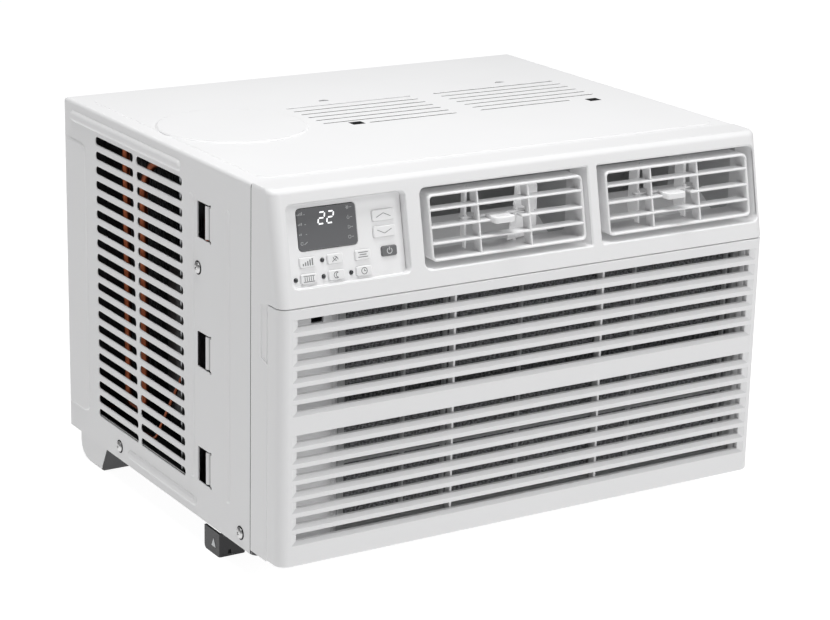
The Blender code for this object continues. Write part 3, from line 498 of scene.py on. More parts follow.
def casing():
    profile = arch(0.0) + arch(SHEET)[::-1]
    shell = lofts(faced(profile, (CASE_FRONT, DEPTH)))
    raised = [slab(
        on_top, (0.015, 0.455, 0.058, 0.371), 0.01, (0.0012, -0.0012), (0.001, -0.0005), (0.0002, -0.0001), (0, 0.0), steps=6,
    )]
    raised_sides = []
    for side in (on_left, on_right):
        for span, radius, height, slant in (
            ((0.168, 0.383, 0.2826, 0.2924), 0.0048, 0.0022, 0.0034),
            ((0.142, 0.273, 0.0036, 0.0124), 0.0043, 0.002, 0.003),
            ((0.353, 0.3945, 0.02, 0.267), (0.01, 0.0001, 0.0001, 0.01), 0.0014, 0.002),
            ((0.0825, 0.0915, 0.026, 0.2705), 0.0044, 0.0011, 0.0022),
            ((0.145, 0.1535, 0.028, 0.271), 0.0042, 0.0011, 0.0022),
        ):
            radii = radius if isinstance(radius, tuple) else (radius,) * 4
            raised_sides.append([
                place(side, rounded(*grown(span, -slant * share), [max(r - slant * share, 0.0001) for r in radii], 4), level)
                for share, level in ((0, -0.0006), (0, 0.0), (0.45, height * 0.75), (1, height))
            ])
    disc = []
    for radius, level in ((0.064, -0.001), (0.064, 0.0), (0.063, 0.0008), (0.0622, 0.0009)):
        disc.append(place(on_top, ring_outline((0.0777, 0.2281), radius), level))
    cuts, notches = [], []
    for side in (on_left, on_right):
        for row, middle in enumerate(sorted(VENT_ROWS, reverse=True)):
            down = row / (len(VENT_ROWS) - 1)
            for deep in ((0.167 - 0.004 * down, 0.252 - 0.0042 * down), (0.2582 - 0.005 * down, 0.333 + 0.001 * down)):
                span = (*deep, middle - 0.0034, middle + 0.0034)
                cuts.append(slab(
                    side, span, 0.0028, (0.001, 0.004), (0.001, 0.00006), (0.0005, -0.00012), (0.00015, -0.00045), (0, -0.0009),
                    (0, -0.004),
                ))
        for low in CURTAIN_LOWS:
            span = (0.117, 0.139, low, low + 0.0305)
            cuts.append(slab(side, span, 0.0008, *THROUGH))
            for up in (low - 0.0008, low + 0.0287):
                notches.append(slab(side, (0.115, 0.1185, up, up + 0.0026), 0.0009, *THROUGH))
        for deep, up in SCREWS:
            cuts.append([place(side, ring_outline((deep, up), 0.0026, 20), level) for level in (0.004, -0.004)])
    for row in range(7):
        deep, last = 0.267 - row * 0.0128, row == 6
        for left, right in ((0.189 if last else 0.151, 0.277), (0.301, 0.397 if last else 0.431)):
            span = (left, right, deep - 0.0013, deep + 0.0013)
            cuts.append(slab(on_top, span, 0.0012, (0.0007, 0.004), (0.0007, 0.0004), (0, -0.0003), (0, -0.004)))
    for left, deep in ((0.172, 0.1875), (0.411, 0.178)):
        cuts.append(slab(on_top, (left, left + 0.012, deep, deep + 0.0098), 0.0006, *THROUGH))
    for middle in (0.197, 0.383):
        half_round = [spoke(middle, 0.2815, 0.005, math.radians(a)) for a in range(0, 181, 20)]
        cuts.append([place(on_top, half_round, level) for level in (0.004, -0.004)])
    inside_wall = WIDTH / 2 - SHEET * 0.6

    # Painted shade: the casing's inside faces and the walls of the top slots are painted near-black
    def shaded_inside(centre, normal):
        by_slots = 0.17 < centre.y - ORIGIN.y < 0.275 and abs(centre.x - ORIGIN.x - 0.29) < 0.15
        if by_slots and centre.z > ORIGIN.z + TOP - SHEET and abs(normal.z) < 0.3:
            return True
        across = abs(centre.x - ORIGIN.x - WIDTH / 2)
        up = centre.z - ORIGIN.z
        return across < inside_wall and up < TOP - 0.0006 - SHEET * 0.6

    piece(
        "casing", shell, "powder_coat", "cabinet", ["cabinet_shell"],
        add=[lofts(*raised), lofts(disc), lofts(*raised_sides)], cut=[lofts(*cuts), lofts(*notches)], crisp=32,
        inner=("painted_shade_dark", shaded_inside),
    )
    fold = (
        (0.1168, -0.004), (0.118, -0.0036), (0.1195, -0.0026), (0.1212, -0.0013), (0.1228, -0.0003), (0.124, 0.0002),
        (0.1247, 0.0001), (0.1252, -0.0004), (0.1253, -0.0011), (0.1246, -0.0014), (0.124, -0.001), (0.1227, -0.0014),
        (0.121, -0.0025), (0.1192, -0.0037), (0.1176, -0.0047), (0.1166, -0.005),
    )
    for name, side in (("left", on_left), ("right", on_right)):
        tabs = []
        for low in CURTAIN_LOWS:
            tabs.append([[side(deep, up, out) for deep, out in fold] for up in (low + 0.0016, low + 0.0289)])
        # The front part of each curtain tab is painted grey as shade
        piece(
            f"curtain_tabs_{name}", lofts(*tabs), "powder_coat", "cabinet", crisp=40,
            inner=("fold_shade", lambda centre, normal: centre.y < ORIGIN.y + 0.1205),
        )


def base_pan():
    span = (SHEET + 0.0004, WIDTH - SHEET - 0.0004, CASE_FRONT + 0.004, 0.3912)
    tray = slab(at, span, 0.008, (-0.003, -0.0028), (-0.0008, -0.0024), (0, -0.001), (0, 0.025), steps=4)
    hollow = slab(at, span, 0.008, (-0.0045, -0.0013), (-0.0015, -0.0003), (-0.0015, 0.1), steps=4)
    sump = slab(
        at, (span[0] + 0.0006, span[1] - 0.0006, 0.0462, 0.156), 0.008, (-0.0034, -0.007), (-0.0012, -0.0064), (0, -0.0048),
        (0, -0.0002), steps=4,
    )
    outline = (
        (0.3325, FLOOR_UP), (0.36, FLOOR_UP), (0.369, FLOOR_UP + 0.0015), (0.375, FLOOR_UP + 0.005),
        (0.3785, FLOOR_UP + 0.01), (0.3795, FLOOR_UP + 0.0155), (0.3795, 0.0), (0.316, 0.0), (0.3192, -0.003),
        (0.3304, FLOOR_UP + 0.0045), (0.3312, FLOOR_UP + 0.0014),
    )
    feet = []
    for left, right in ((span[0], 0.058), (WIDTH - 0.058, span[1])):
        steps = (
            (left, 0.0016), (left + 0.0006, 0.0007), (left + 0.0018, 0.0), (right - 0.0018, 0.0), (right - 0.0006, 0.0007),
            (right, 0.0016),
        )
        centre = (0.348, -0.008)
        sections = []
        for across, pull in steps:
            scale = 1 - pull / 0.022
            sections.append([
                at(across, centre[0] + (d - centre[0]) * scale, min(centre[1] + (u - centre[1]) * scale, 0.0) if u < 0 else 0.0)
                for d, u in outline
            ])
        feet.append(sections)

    # Painted shade: the pan's up- and down-facing faces, its lower front-facing faces and its inside are painted
    # near-black
    def in_shade(centre, normal):
        across = abs(centre.x - ORIGIN.x - WIDTH / 2)
        if abs(normal.z) > 0.5 or (normal.y < -0.35 and centre.z < ORIGIN.z - 0.0005):
            return True
        return across < WIDTH / 2 - 0.0026 and centre.z > ORIGIN.z + 0.001

    piece(
        "pan", lofts(tray), "powder_coat", "cabinet", ["base_pan"],
        add=[lofts(*feet), lofts(sump)], cut=[lofts(hollow)], crisp=30,
        inner=("painted_shade_dark", in_shade),
    )


def sash_bracket(side, start, end):
    low, high, wall = FLOOR_UP, -0.0078, 0.002
    front, rear = 0.1055, 0.132
    left_side = side == "left"
    outer = (start, start + wall) if left_side else (end - wall, end)
    web = spanned(rounded(front, rear, low, high, (0.002, 0.0035, 0.0004, 0.0004)), outer)
    stamp_deep = 0.115
    flange = stood(rounded(start, end, front, rear, (0.002, 0.002, 0.006, 0.006)), (low, low + wall))
    plate_end = end - 0.001 if left_side else end
    plate = faced(rounded(start, plate_end, low + 0.0055, high, (0.0004, 0.0004, 0.0015, 0.0015)), (front, front + wall))
    if left_side:
        lobe_spans, lobe_corners = ((start, start + 0.0085), (start + 0.011, start + 0.0235)), (0.0022, 0.004)
    else:
        lobe_spans, lobe_corners = ((end - 0.0085, end), (end - 0.0235, end - 0.011)), (0.004, 0.0022)
    lobes = [
        faced(rounded(*lobe, low, low + 0.012, (*lobe_corners, 0.0004, 0.0004)), (front + 0.0002, front + wall - 0.0002))
        for lobe in lobe_spans
    ]
    piece(
        f"sill_bracket_{side}", lofts(web), "bracket_black", "cabinet", [f"sash_bracket_{side}"],
        add=[lofts(flange), lofts(plate), lofts(*lobes)],
    )
    face = start - 0.00025 if left_side else end + 0.00025
    triangle = [(stamp_deep + dd, -0.0185 + du) for dd, du in ((-0.0036, -0.0033), (0.004, -0.0033), (0.0002, 0.004))]
    stamp = spanned(triangle, (face, face + (0.0006 if left_side else -0.0006)))
    piece(f"bracket_stamp_{side}", lofts(stamp), "zinc_sheet", "cabinet")


def rear_plate():
    span = (0.0011, WIDTH - 0.0011, -0.003, 0.2993)
    plate = slab(on_front, span, 0.0018, (-0.0004, 0.3953), (0, 0.3949), (0, 0.393))
    windows = []
    columns, rows, bar = 3, 17, 0.008
    cell_width, cell_height = (0.426 + bar) / columns, 0.272 / rows
    for column in range(columns):
        for row in range(rows):
            left, low = 0.022 + column * cell_width, 0.012 + row * cell_height
            window = (left, left + cell_width - bar, low, low + 0.011)
            windows.append(slab(on_front, window, 0.0035, (0.0006, 0.398), (0.0006, 0.3952), (0, 0.3946), (0, 0.388)))
    # The rear panel's front-facing faces are painted near-black as shade
    piece(
        "rear_plate", lofts(plate), "powder_coat", "cabinet", ["rear_guard"], cut=[lofts(*windows)],
        inner=("painted_shade_dark", lambda centre, normal: normal.y < -0.5),
    )
    baffles = [
        slab(on_front, (left, right, -0.002, 0.29), 0.002, (0, 0.3884), (0, 0.39))
        for left, right in ((0.0035, 0.0395), (WIDTH - 0.0195, WIDTH - 0.0035))
    ]
    piece("coil_baffles", lofts(*baffles), "black_moulded", "cabinet")


def side_screws():
    for side, mapping, outward in (("left", on_left, -1), ("right", on_right, 1)):
        axis = Vector((outward, 0, 0))
        for number, (deep, up) in enumerate(SCREWS, 1):
            head = turned(SCREW_PROFILE, mapping(deep, up, 0.0), axis, 24)
            slots = []
            for turn in (20 + 31 * number, 110 + 31 * number):
                angle = math.radians(turn)
                along, side_way = Vector((math.cos(angle), math.sin(angle))), Vector((-math.sin(angle), math.cos(angle)))
                corners = [
                    along * a + side_way * b
                    for a, b in ((-0.002, -0.00045), (0.002, -0.00045), (0.002, 0.00045), (-0.002, 0.00045))
                ]
                slots.append(lofts([
                    [mapping(deep + c.x * scale, up + c.y * scale, level) for c in corners]
                    for level, scale in ((0.004, 1.0), (0.0023, 1.0), (0.0008, 0.45))
                ]))
            piece(
                f"side_screw_{side}_{number}", lofts(head), "bright_zinc", "cabinet", [f"screw_{side}_{number}"],
                cut=slots, crisp=40,
            )
        # Dark rings round each screw head: painted shadow
        shadow_rings = []
        for deep, up in SCREWS:
            shadow_rings.append(turned(
                ((0.0059, -0.0001), (0.0059, 0.00012), (0.0056, 0.00025), (0.0043, 0.00025), (0.0043, -0.0001)),
                mapping(deep, up, 0.0), axis, 24,
            ))
        piece(f"screw_shadows_{side}", lofts(*shadow_rings), "painted_shadow_black", "cabinet")


# Bezel and grille

def shell_outline(front, rear, side, corner, steps=6):
    """A (across, deep) outline, rounded at its two front corners."""
    return rounded(side, WIDTH - side, front, rear, (corner, corner, 0.0005, 0.0005), steps)


def bezel():
    wall = 0.0025
    lower = stood(shell_outline(0.0216, BEZEL_REAR, 0, 0.0006), (0.0, CREASE + 0.004))
    rise = []
    edge, side_edge = 0.0045, 0.002
    heights = [CREASE, CREASE + 0.0008]
    heights += [TOP - edge + edge * math.sin(math.radians(a)) for a in (0, 22.5, 45, 67.5, 90)]
    for up in heights:
        over = max(0.0, up - (TOP - edge)) / edge
        pull = 1 - math.sqrt(max(0.0, 1 - over * over))
        inset = 0.0008 if up == CREASE else 0.0
        rise.append([
            at(x, d, up) for x, d in shell_outline(
                slope_deep(up) + edge * pull + inset, BEZEL_REAR, side_edge * pull + inset * 0.5, 0.0085,
            )
        ])
    inner = []
    for up in (CREASE + wall, TOP - wall):
        inner.append([at(x, d, up) for x, d in shell_outline(slope_deep(up) + wall / math.cos(LEAN), 0.06, wall, 0.006)])
    inner_low = stood(shell_outline(0.0216 + wall, 0.06, wall, 0.0008), (wall, CREASE + wall + 0.0001))
    recess = slab(
        on_slope, PANEL, 0.0048, (0.0008, -0.004), (0.0008, -0.0001), (0.0004, 0.0002), (0.0001, 0.0007), (0.0003, 0.02),
        steps=5,
    )
    mouths = []
    for (left, right), corners in zip(OUTLETS, OUTLET_CORNERS):
        mouths.append(slab(
            on_slope, (left, right, *OUTLET_ALONG), corners, (0.0016, -0.004), (0.0016, -0.0001), (0.0007, 0.0005), (0, 0.0016),
            (0, 0.012), steps=5,
        ))
    intake = slab(on_front, (0.062, 0.452, 0.018, 0.203), 0.003, (0.001, 0.0), (0.001, 0.0216), (0, 0.0226), (0, 0.03))
    small_hole = slab(on_front, (0.0386, 0.0496, 0.1905, 0.2), 0.0008, (0, 0.0), (0, 0.03))
    grips = []
    for mapping in (on_left, on_right):
        tab = ((0.0216 - 0.003, 0.209), (0.0216 - 0.003, 0.163), (0.0218, 0.163), (0.032, 0.167), (0.032, 0.209))
        grips.append([[mapping(d, u, out) for d, u in tab] for out in (0.002, -0.0007)])
        slit = ((0.02, 0.2095), (0.02, 0.1635), (0.0232, 0.1635), (0.0232, 0.2095))
        grips.append([[mapping(d, u, out) for d, u in slit] for out in (0.003, -0.0022)])

    # The bezel's front-facing wall behind the grille gets a faint painted glow
    def behind_grille(centre, normal):
        return normal.y < -0.7 and centre.y > ORIGIN.y + 0.02 and centre.z < ORIGIN.z + CREASE

    cutters = [
        lofts(inner), lofts(inner_low), lofts(recess, *mouths), lofts(intake, small_hole), lofts(grips[0], grips[2]),
        lofts(grips[1], grips[3]),
    ]
    piece(
        "bezel", lofts(lower), "white_abs", "cabinet", ["front_bezel"],
        add=[lofts(rise)], cut=cutters, crisp=30,
        inner=("painted_light_wall", behind_grille),
    )


def outlet_linings():
    """The pale walls seen round and behind each louvre, lightened by a painted glow."""
    tunnels, bores, ramps = [], [], []
    for (left, right), corners in zip(OUTLETS, OUTLET_CORNERS):
        for stacks, wide, ends in ((tunnels, 0.0009, 0.0), (bores, 0.0, 0.004)):
            near = rounded(*grown((left, right, 0.2255, 0.2887), wide), corners, 4)
            far = rounded(*grown((left, right, 0.2247, 0.29), wide), corners, 4)
            stacks.append([[at(x, slope_deep(u) + 0.0022 - ends, u) for x, u in near], [at(x, 0.04 + ends, u) for x, u in far]])
        slope = (
            (0.06, 0.2188), (0.098, 0.2188), (0.098, 0.239), (0.089, 0.237), (0.078, 0.2305), (0.069, 0.2235), (0.062, 0.2195),
        )
        ramps.append(spanned(slope, (left + 0.0003, right - 0.0006)))
    # Linings and ramps take the faintly glowing wall white: painted light
    piece("outlet_linings", lofts(*tunnels), "painted_light_wall", "cabinet", cut=[lofts(*bores)], crisp=40)
    # A black pocket behind the bezel's small hole: painted shade that stops the view through it
    shade_pocket = slab(on_front, (0.033, 0.055, 0.185, 0.2055), 0.001, (0, 0.029), (0, 0.0284))
    piece("hole_painted_shade", lofts(shade_pocket), "painted_shadow_black", "cabinet")
    piece("duct_ramps", lofts(*ramps), "painted_light_wall", "cabinet", crisp=40)


def grille():
    low, high, rear, corner = 0.0003, CREASE - 0.0005, 0.021, 0.0088
    sections = []
    for up, pull in (
        (low, 0.0014), (low + 0.0004, 0.0006), (low + 0.0015, 0.0), (high - 0.0009, 0.0), (high - 0.0002, 0.0003),
        (high, 0.0009),
    ):
        sections.append([at(x, d, up) for x, d in shell_outline(pull, rear, pull, corner)])
    hollow = stood(shell_outline(0.0052, 0.05, 0.0025, corner - 0.004), (low + 0.0025, high - 0.0022))
    slots = []
    for top in SLOT_TOPS:
        outer = (0.011, 0.461, top - 0.0096, top)
        inner = (0.0158, 0.4562, top - 0.0096 + 0.0032, top - 0.0003)
        lip = grown(outer, 0.0002)
        slots.append([
            place(on_front, rounded(*span, radius, 2), level)
            for span, radius, level in (
                (lip, 0.0008, -0.002), (lip, 0.0008, -0.0001), (outer, 0.0007, 0.0003), (inner, 0.0007, 0.0018),
                (inner, 0.0007, 0.0085),
            )
        ])

    # Painted shade: upward-facing faces in the front part of the slots get the darker slat colour
    def on_slat(centre, normal):
        return normal.z > 0.2 and ORIGIN.y + 0.0001 < centre.y < ORIGIN.y + 0.004 and centre.z < ORIGIN.z + 0.205

    ribs = []
    for middle in (0.1605, 0.3048):
        ribs.append(stood(rounded(middle - 0.001, middle + 0.001, 0.0045, 0.0115, 0.0004, 2), (low + 0.001, high - 0.001)))
    for left, right in ((0.056, 0.0578), (0.4542, 0.456)):
        ribs.append(stood(rounded(left, right, 0.0125, 0.0185, 0.0004, 2), (low + 0.001, high - 0.001)))
    piece(
        "grille", lofts(sections), "white_abs", "intake_grille", ["intake_grille"],
        cut=[lofts(hollow), lofts(*slots)], crisp=20,
        inner=("slat_shade", on_slat),
    )
    piece("grille_ribs", lofts(*ribs), "white_abs", "intake_grille")


def air_filter():
    left, right, low, high, rim = 0.0585, 0.4535, 0.014, 0.2003, 0.006
    plate = slab(on_front, (left, right, low, high), 0.003, (-0.0006, 0.0125), (0, 0.0131), (0, 0.0165))
    uprights, bars, half = (0.119, 0.1575, 0.23, 0.3076, 0.3438, 0.4409), (0.075, 0.135), 0.0012
    across = [left + rim, *[x + s * half for x in uprights for s in (-1, 1)], right - rim]
    ups = [low + rim, *[z + s * half for z in bars for s in (-1, 1)], high - 0.0016]
    windows = []
    for start, end in zip(across[0::2], across[1::2]):
        for bottom, top in zip(ups[0::2], ups[1::2]):
            windows.append(slab(
                on_front, (start, end, bottom, top), 0.0012, (0.0004, 0.0115), (0.0004, 0.0125), (0, 0.013), (0, 0.0175),
                steps=2,
            ))
    piece("filter_grid", lofts(plate), "filter_grey", "air_filter", ["filter_frame"], cut=[lofts(*windows)])
    net = slab(on_front, (left + 0.002, right - 0.002, low + 0.002, high - 0.002), 0.002, (0, 0.0168), (0, 0.0177))
    piece("filter_net", lofts(net), "filter_net", "air_filter", ["filter_mesh"])


# Control panel

def glyph(name, strokes, body, paint, depth, lift=0.00012):
    """Printed marks: each stroke is a closed outline of (across, along) points."""
    stacks = [[[on_slope(x, y, level) for x, y in stroke] for level in (depth + 0.0002, depth - lift)] for stroke in strokes]
    return piece(name, lofts(*stacks), paint, body)


def bar(x0, y0, x1, y1, width):
    """A straight stroke between two points, as an outline."""
    run = Vector((x1 - x0, y1 - y0)).normalized() * width / 2
    off = Vector((-run.y, run.x))
    return [
        (x0 + off.x - run.x, y0 + off.y - run.y), (x1 + off.x + run.x, y1 + off.y + run.y),
        (x1 - off.x + run.x, y1 - off.y + run.y), (x0 - off.x - run.x, y0 - off.y - run.y),
    ]


def arc_strokes(cx, cy, radius, start, end, width, count):
    """Short straight strokes that follow an arc."""
    strokes = []
    for i in range(count):
        a, b = (math.radians(start + (end - start) * (i + j) / count) for j in (0, 0.86))
        strokes.append(bar(*spoke(cx, cy, radius, a), *spoke(cx, cy, radius, b), width))
    return strokes


def key_marks(name, cx, cy):
    """A plain pictogram for each key."""
    thin = 0.00052

    def line(x0, y0, x1, y1, width=thin):
        return bar(cx + x0, cy + y0, cx + x1, cy + y1, width)

    def arc(dx, dy, radius, start, end, steps):
        return arc_strokes(cx + dx, cy + dy, radius, start, end, thin, steps)

    if name == "filter":
        strokes = [line(dx, -0.0014, dx, 0.0014) for dx in (-0.0036, -0.0018, 0.0, 0.0018, 0.0036)]
        return strokes + [line(-0.0046, dy, 0.0046, dy) for dy in (-0.0022, 0.0022)]
    if name == "sleep":
        return arc(0, 0, 0.0024, 60, 300, 9) + arc(0.0014, 0, 0.0019, 95, 265, 6)
    if name == "timer":
        return arc(0, 0, 0.0025, 0, 360, 12) + [line(0, 0, 0, 0.0014), line(0.0003, 0, 0.0013, 0)]
    if name == "fan_speed":
        return [
            bar(cx - 0.004 + 0.002 * i, cy - 0.0021, cx - 0.004 + 0.002 * i, cy - 0.0013 + 0.0009 * i, 0.001)
            for i in range(5)
        ]
    if name == "eco":
        leaf = arc(-0.0009, -0.0014, 0.0032, 10, 85, 5) + arc(0.0013, 0.0016, 0.0032, 190, 265, 5)
        return leaf + [line(-0.0028, -0.0022, 0.0014, 0.0009)]
    if name == "mode":
        return [line(-reach, dy, reach, dy, 0.0006) for dy, reach in ((-0.0018, 0.004), (0.0, 0.0028), (0.0018, 0.004))]
    if name == "power":
        return arc(0, 0, 0.0022, 125, 415, 10) + [line(0, 0.0007, 0, 0.0028)]
    tip = 0.0014 if name == "up" else -0.0014
    return [line(-0.0062, -tip, -0.0002, tip, 0.00045), line(0.0002, tip, 0.0062, -tip, 0.00045)]


def control_panel():
    wall, floor = 0.0003, RECESS + 0.002
    tray = slab(on_slope, PANEL, 0.0045, (0, 0.0009), (0, floor), steps=5)
    inside = slab(
        on_slope, grown(PANEL, -wall), 0.0042, (0.0005, -0.001), (0.0005, 0.0012), (0.0001, 0.0016), (0, RECESS - 0.0003),
        (-0.0003, RECESS), steps=5,
    )
    low_x, high_x, low_y, high_y = grown(PANEL, -wall)
    grooves = [
        slab(on_slope, edge, 0.0002, (0, RECESS - 0.001), (0, RECESS + 0.0014))
        for edge in (
            (high_x - 0.0006, high_x, low_y + 0.003, high_y - 0.003), (low_x, low_x + 0.0006, low_y + 0.003, high_y - 0.003),
            (low_x + 0.003, high_x - 0.003, high_y - 0.0005, high_y),
        )
    ]
    holes = []
    slip = 0.00014
    holes.append(slab(
        on_slope, DISPLAY, 0.0034, (0.0003, RECESS - 0.001), (0.0003, RECESS + 0.0002), (0, RECESS + 0.0006),
        (0, floor + 0.002), steps=5,
    ))
    for cx, cy, width, height in KEYS.values():
        span = (cx - width / 2 - slip, cx + width / 2 + slip, cy - height / 2 - slip, cy + height / 2 + slip)
        holes.append(slab(on_slope, span, 0.0018, (0, RECESS - 0.003), (0, floor + 0.002)))
    for cx, cy in LEDS:
        holes.append([place(on_slope, ring_outline((cx, cy), 0.0019, 20), level) for level in (RECESS - 0.002, floor + 0.002)])
    # The front-facing faces of the recess floor get a faint painted glow
    piece(
        "panel_tray", lofts(tray), "white_abs", "cabinet", ["control_panel"],
        cut=[lofts(inside), lofts(*holes), lofts(*grooves)], crisp=35,
        inner=("painted_light_panel", lambda centre, normal: normal.y < -0.95),
    )

    glass = slab(
        on_slope, grown(DISPLAY, -0.0003), 0.0032, (-0.0006, RECESS - 0.0008), (-0.0001, RECESS - 0.0004), (0, RECESS),
        (0, floor + 0.0004), steps=6,
    )
    piece("display_glass", lofts(glass), "smoke", "cabinet", ["display_window"])
    digits = []
    height, width, thick, skew = 0.0088, 0.0052, 0.00115, 0.16
    for left in (0.0424, 0.0502):
        base = 0.0612

        def pt(x, y):
            return (left + x + skew * y, base + y)

        gap = 0.00028
        halves = height / 2
        for x0, y0, x1, y1 in (
            (0.0006, height, width - 0.0006, height), (width, height - 0.0006, width, halves + 0.0006),
            (0.0006, halves, width - 0.0006, halves), (0.0, halves - 0.0006, 0.0, 0.0006), (0.0006, 0.0, width - 0.0006, 0.0),
        ):
            run = Vector((x1 - x0, y1 - y0)).normalized()
            off = Vector((-run.y, run.x)) * thick / 2
            tip = run * thick / 2
            a, b = Vector((x0, y0)) + run * gap, Vector((x1, y1)) - run * gap
            outline = [a - tip * 0.6, a + off, b + off, b + tip * 0.6, b - off, a - off]
            digits.append([pt(*p) for p in outline])
    glyph("display_digits", digits, "cabinet", "digit_light", RECESS - 0.0008, 0.0001)
    ticks = []
    fine = 0.00055
    for row in range(4):
        left, right = 0.0251 + 0.0003 * row, 0.0673
        y, y_right = 0.0706 - 0.0076 * row, 0.0712 - 0.0076 * row
        if row < 3:
            ticks += [
                bar(left + 0.0013 * i, y - 0.0009, left + 0.0013 * i, y - 0.0006 + 0.0005 * i, 0.00075)
                for i in range(4 - row)
            ]
            ticks.append(bar(left + 0.0056, y - 0.0009, left + 0.0062, y - 0.0009, fine))
        else:
            ticks += arc_strokes(left + 0.0012, y, 0.0011, 30, 330, fine, 6)
            ticks.append(bar(left + 0.0034, y - 0.0008, left + 0.0058, y + 0.0008, fine))
        if row == 0:
            ticks += [
                bar(right + 0.0016 - 0.0013 * c, y_right - 0.0013 * d, right + 0.0016 + 0.0013 * c, y_right + 0.0013 * d, fine)
                for c, d in ((1, 0), (0.5, 0.87), (0.5, -0.87))
            ]
        elif row == 1:
            ticks += arc_strokes(right + 0.0018, y_right - 0.0003, 0.001, 140, 400, fine, 5)
            ticks.append(bar(right + 0.0018, y_right + 0.0008, right + 0.0018, y_right + 0.0014, fine))
        elif row == 2:
            for turn in (0, 120, 240):
                middle = spoke(right + 0.002, y_right, 0.0007, math.radians(turn))
                ticks += arc_strokes(*middle, 0.0006, turn - 60, turn + 120, fine, 3)
        else:
            for start in (20, 200):
                ticks += arc_strokes(right + 0.0018, y_right, 0.0012, start, start + 150, fine, 3)
        ticks.append(bar(right + 0.004, y_right, right + 0.0052, y_right, fine))
    glyph("display_ticks", ticks, "cabinet", "tick_light", RECESS - 0.0008, 0.0001)

    for name, (cx, cy, width, height) in KEYS.items():
        span = (cx - width / 2, cx + width / 2, cy - height / 2, cy + height / 2)
        back = floor + 0.0003
        cap = slab(
            on_slope, span, 0.0017, (-0.001, RECESS - 0.0015), (-0.0004, RECESS - 0.0013), (0, RECESS - 0.0007),
            (0, back + 0.0002), (0.0008, back + 0.0003), (0.0008, back + 0.0012), steps=4,
        )
        is_power = name == "power"
        piece(
            f"key_{name}", lofts(cap), "key_dark" if is_power else "key_white", f"button_{name}",
            [f"button_{name}"], crisp=50,
        )
        # The power key's mark is pale print with a faint painted glow
        glyph(
            f"mark_{name}", key_marks(name, cx, cy), f"button_{name}", "pale_print_painted_glow" if is_power else "print_grey",
            RECESS - 0.0015, 0.00008,
        )
    lights = [
        turned(
            ((0.0, RECESS - 0.0012), (0.0009, RECESS - 0.0011), (0.0016, RECESS - 0.0007), (0.0016, floor)), on_slope(cx, cy),
            -(on_slope(0, 0, -1) - on_slope(0, 0, 0)), 20,
        )
        for cx, cy in LEDS
    ]
    piece("indicator_lights", lofts(*lights), "lens", "cabinet", crisp=50)


# Louvres

def louvre(side):
    left = LOUVRES[side]
    right = left + LOUVRE_WIDTH
    body = f"louver_{side}"

    def ring(span, radius, *levels):
        """Sections for levels of (grown by, depth, upright): a depth counts from the leaning front unless upright."""
        sections = []
        for grow, depth, upright in levels:
            outline = rounded(*grown(span, grow), max(radius + grow, 0.0003), 4)
            sections.append([at(x, depth if upright else slope_deep(u) + depth, u) for x, u in outline])
        return sections

    span = (left, right, LOUVRE_LOW, LOUVRE_HIGH)
    outer = ring(span, 0.0042, (-0.0007, 0.0, False), (0, 0.0008, False), (0, LOUVRE_REAR, True))
    opening = ring(
        grown(span, -0.002), 0.0028, (0.0008, -0.003, False), (0.0008, 0.0, False), (0, 0.001, False), (0, 0.012, False),
        (0.0002, 0.013, False), (0.0002, 0.06, True),
    )
    bars = []
    for up in SLATS:
        deep = slope_deep(up)
        outline = rounded(deep + 0.0004, deep + 0.012, up - 0.0008, up + 0.0008, 0.00065, 3)
        bars.append(spanned(outline, (left + 0.0012, right - 0.0012)))
    for offset in UPRIGHTS:
        outline = rounded(left + offset - 0.0008, left + offset + 0.0008, 0.0009, 0.0118, 0.00065, 3)
        bars.append([[at(x, slope_deep(u) + d, u) for x, d in outline] for u in (LOUVRE_LOW + 0.0012, LOUVRE_HIGH - 0.0012)])
    pin_left, pin_right = PIN_ENDS[side]
    pins = rods(
        *[(at(a, *PIN_PLACE), at(b, *PIN_PLACE), 0.002) for a, b in ((pin_left, left + 0.001), (right - 0.001, pin_right))],
        sides=16,
    )
    rooms = lofts(box_at((left + 0.03, left + 0.106), (0.0178, 0.05), (0.2535, 0.2625)))
    tab_room = lofts(box_at((left + 0.057, left + 0.0865), (-0.01, 0.03), (0.255, 0.261)))
    pivots = rods(
        *[(at(left + x, VANE_DEEP, LOUVRE_LOW - 0.01), at(left + x, VANE_DEEP, LOUVRE_HIGH + 0.01), 0.0016) for x in VANES],
        sides=12,
    )
    frame_mesh = combine(lofts(outer), [("DIFFERENCE", lofts(opening))])
    piece(
        f"louvre_{side}", cleaned(frame_mesh), "white_abs", body, [f"louver_frame_{side}"],
        add=[lofts(*bars[:3]), lofts(*bars[3:]), pins], cut=[rooms, tab_room, pivots], crisp=32,
    )

    plate = slab(
        at, (left + 0.0345, left + 0.0975, 0.0183, 0.024), 0.0012, (-0.0003, 0.2582), (0, 0.2585), (0, 0.2597), (-0.0003, 0.26),
    )
    tab_span = (left + 0.0573, left + 0.0766, 0.003, 0.0195)
    tab = slab(
        at, tab_span, (0.003, 0.003, 0.0005, 0.0005), (-0.001, 0.2553), (-0.0002, 0.256), (0, 0.2567), (0, 0.2592),
        (-0.0004, 0.26), (-0.0012, 0.2604), steps=4,
    )
    grips = [
        spanned(rounded(deep, deep + 0.0008, 0.2599, 0.2612, 0.0002, 1), (left + 0.06, left + 0.074))
        for deep in (0.006, 0.0082, 0.0104)
    ]
    slots = []
    for offset in VANES:
        peg = left + offset - VANE_ARM * math.sin(VANE_TURN)
        slots.append(slab(at, (peg - 0.00155, peg + 0.00155, 0.0193, 0.0229), 0.0012, (0, 0.25), (0, 0.27)))
    piece(
        f"link_{side}", lofts(plate), "white_abs", f"link_{side}", [f"link_bar_{side}"], add=[lofts(tab)],
        cut=[lofts(*slots), lofts(*grips)], crisp=35,
    )


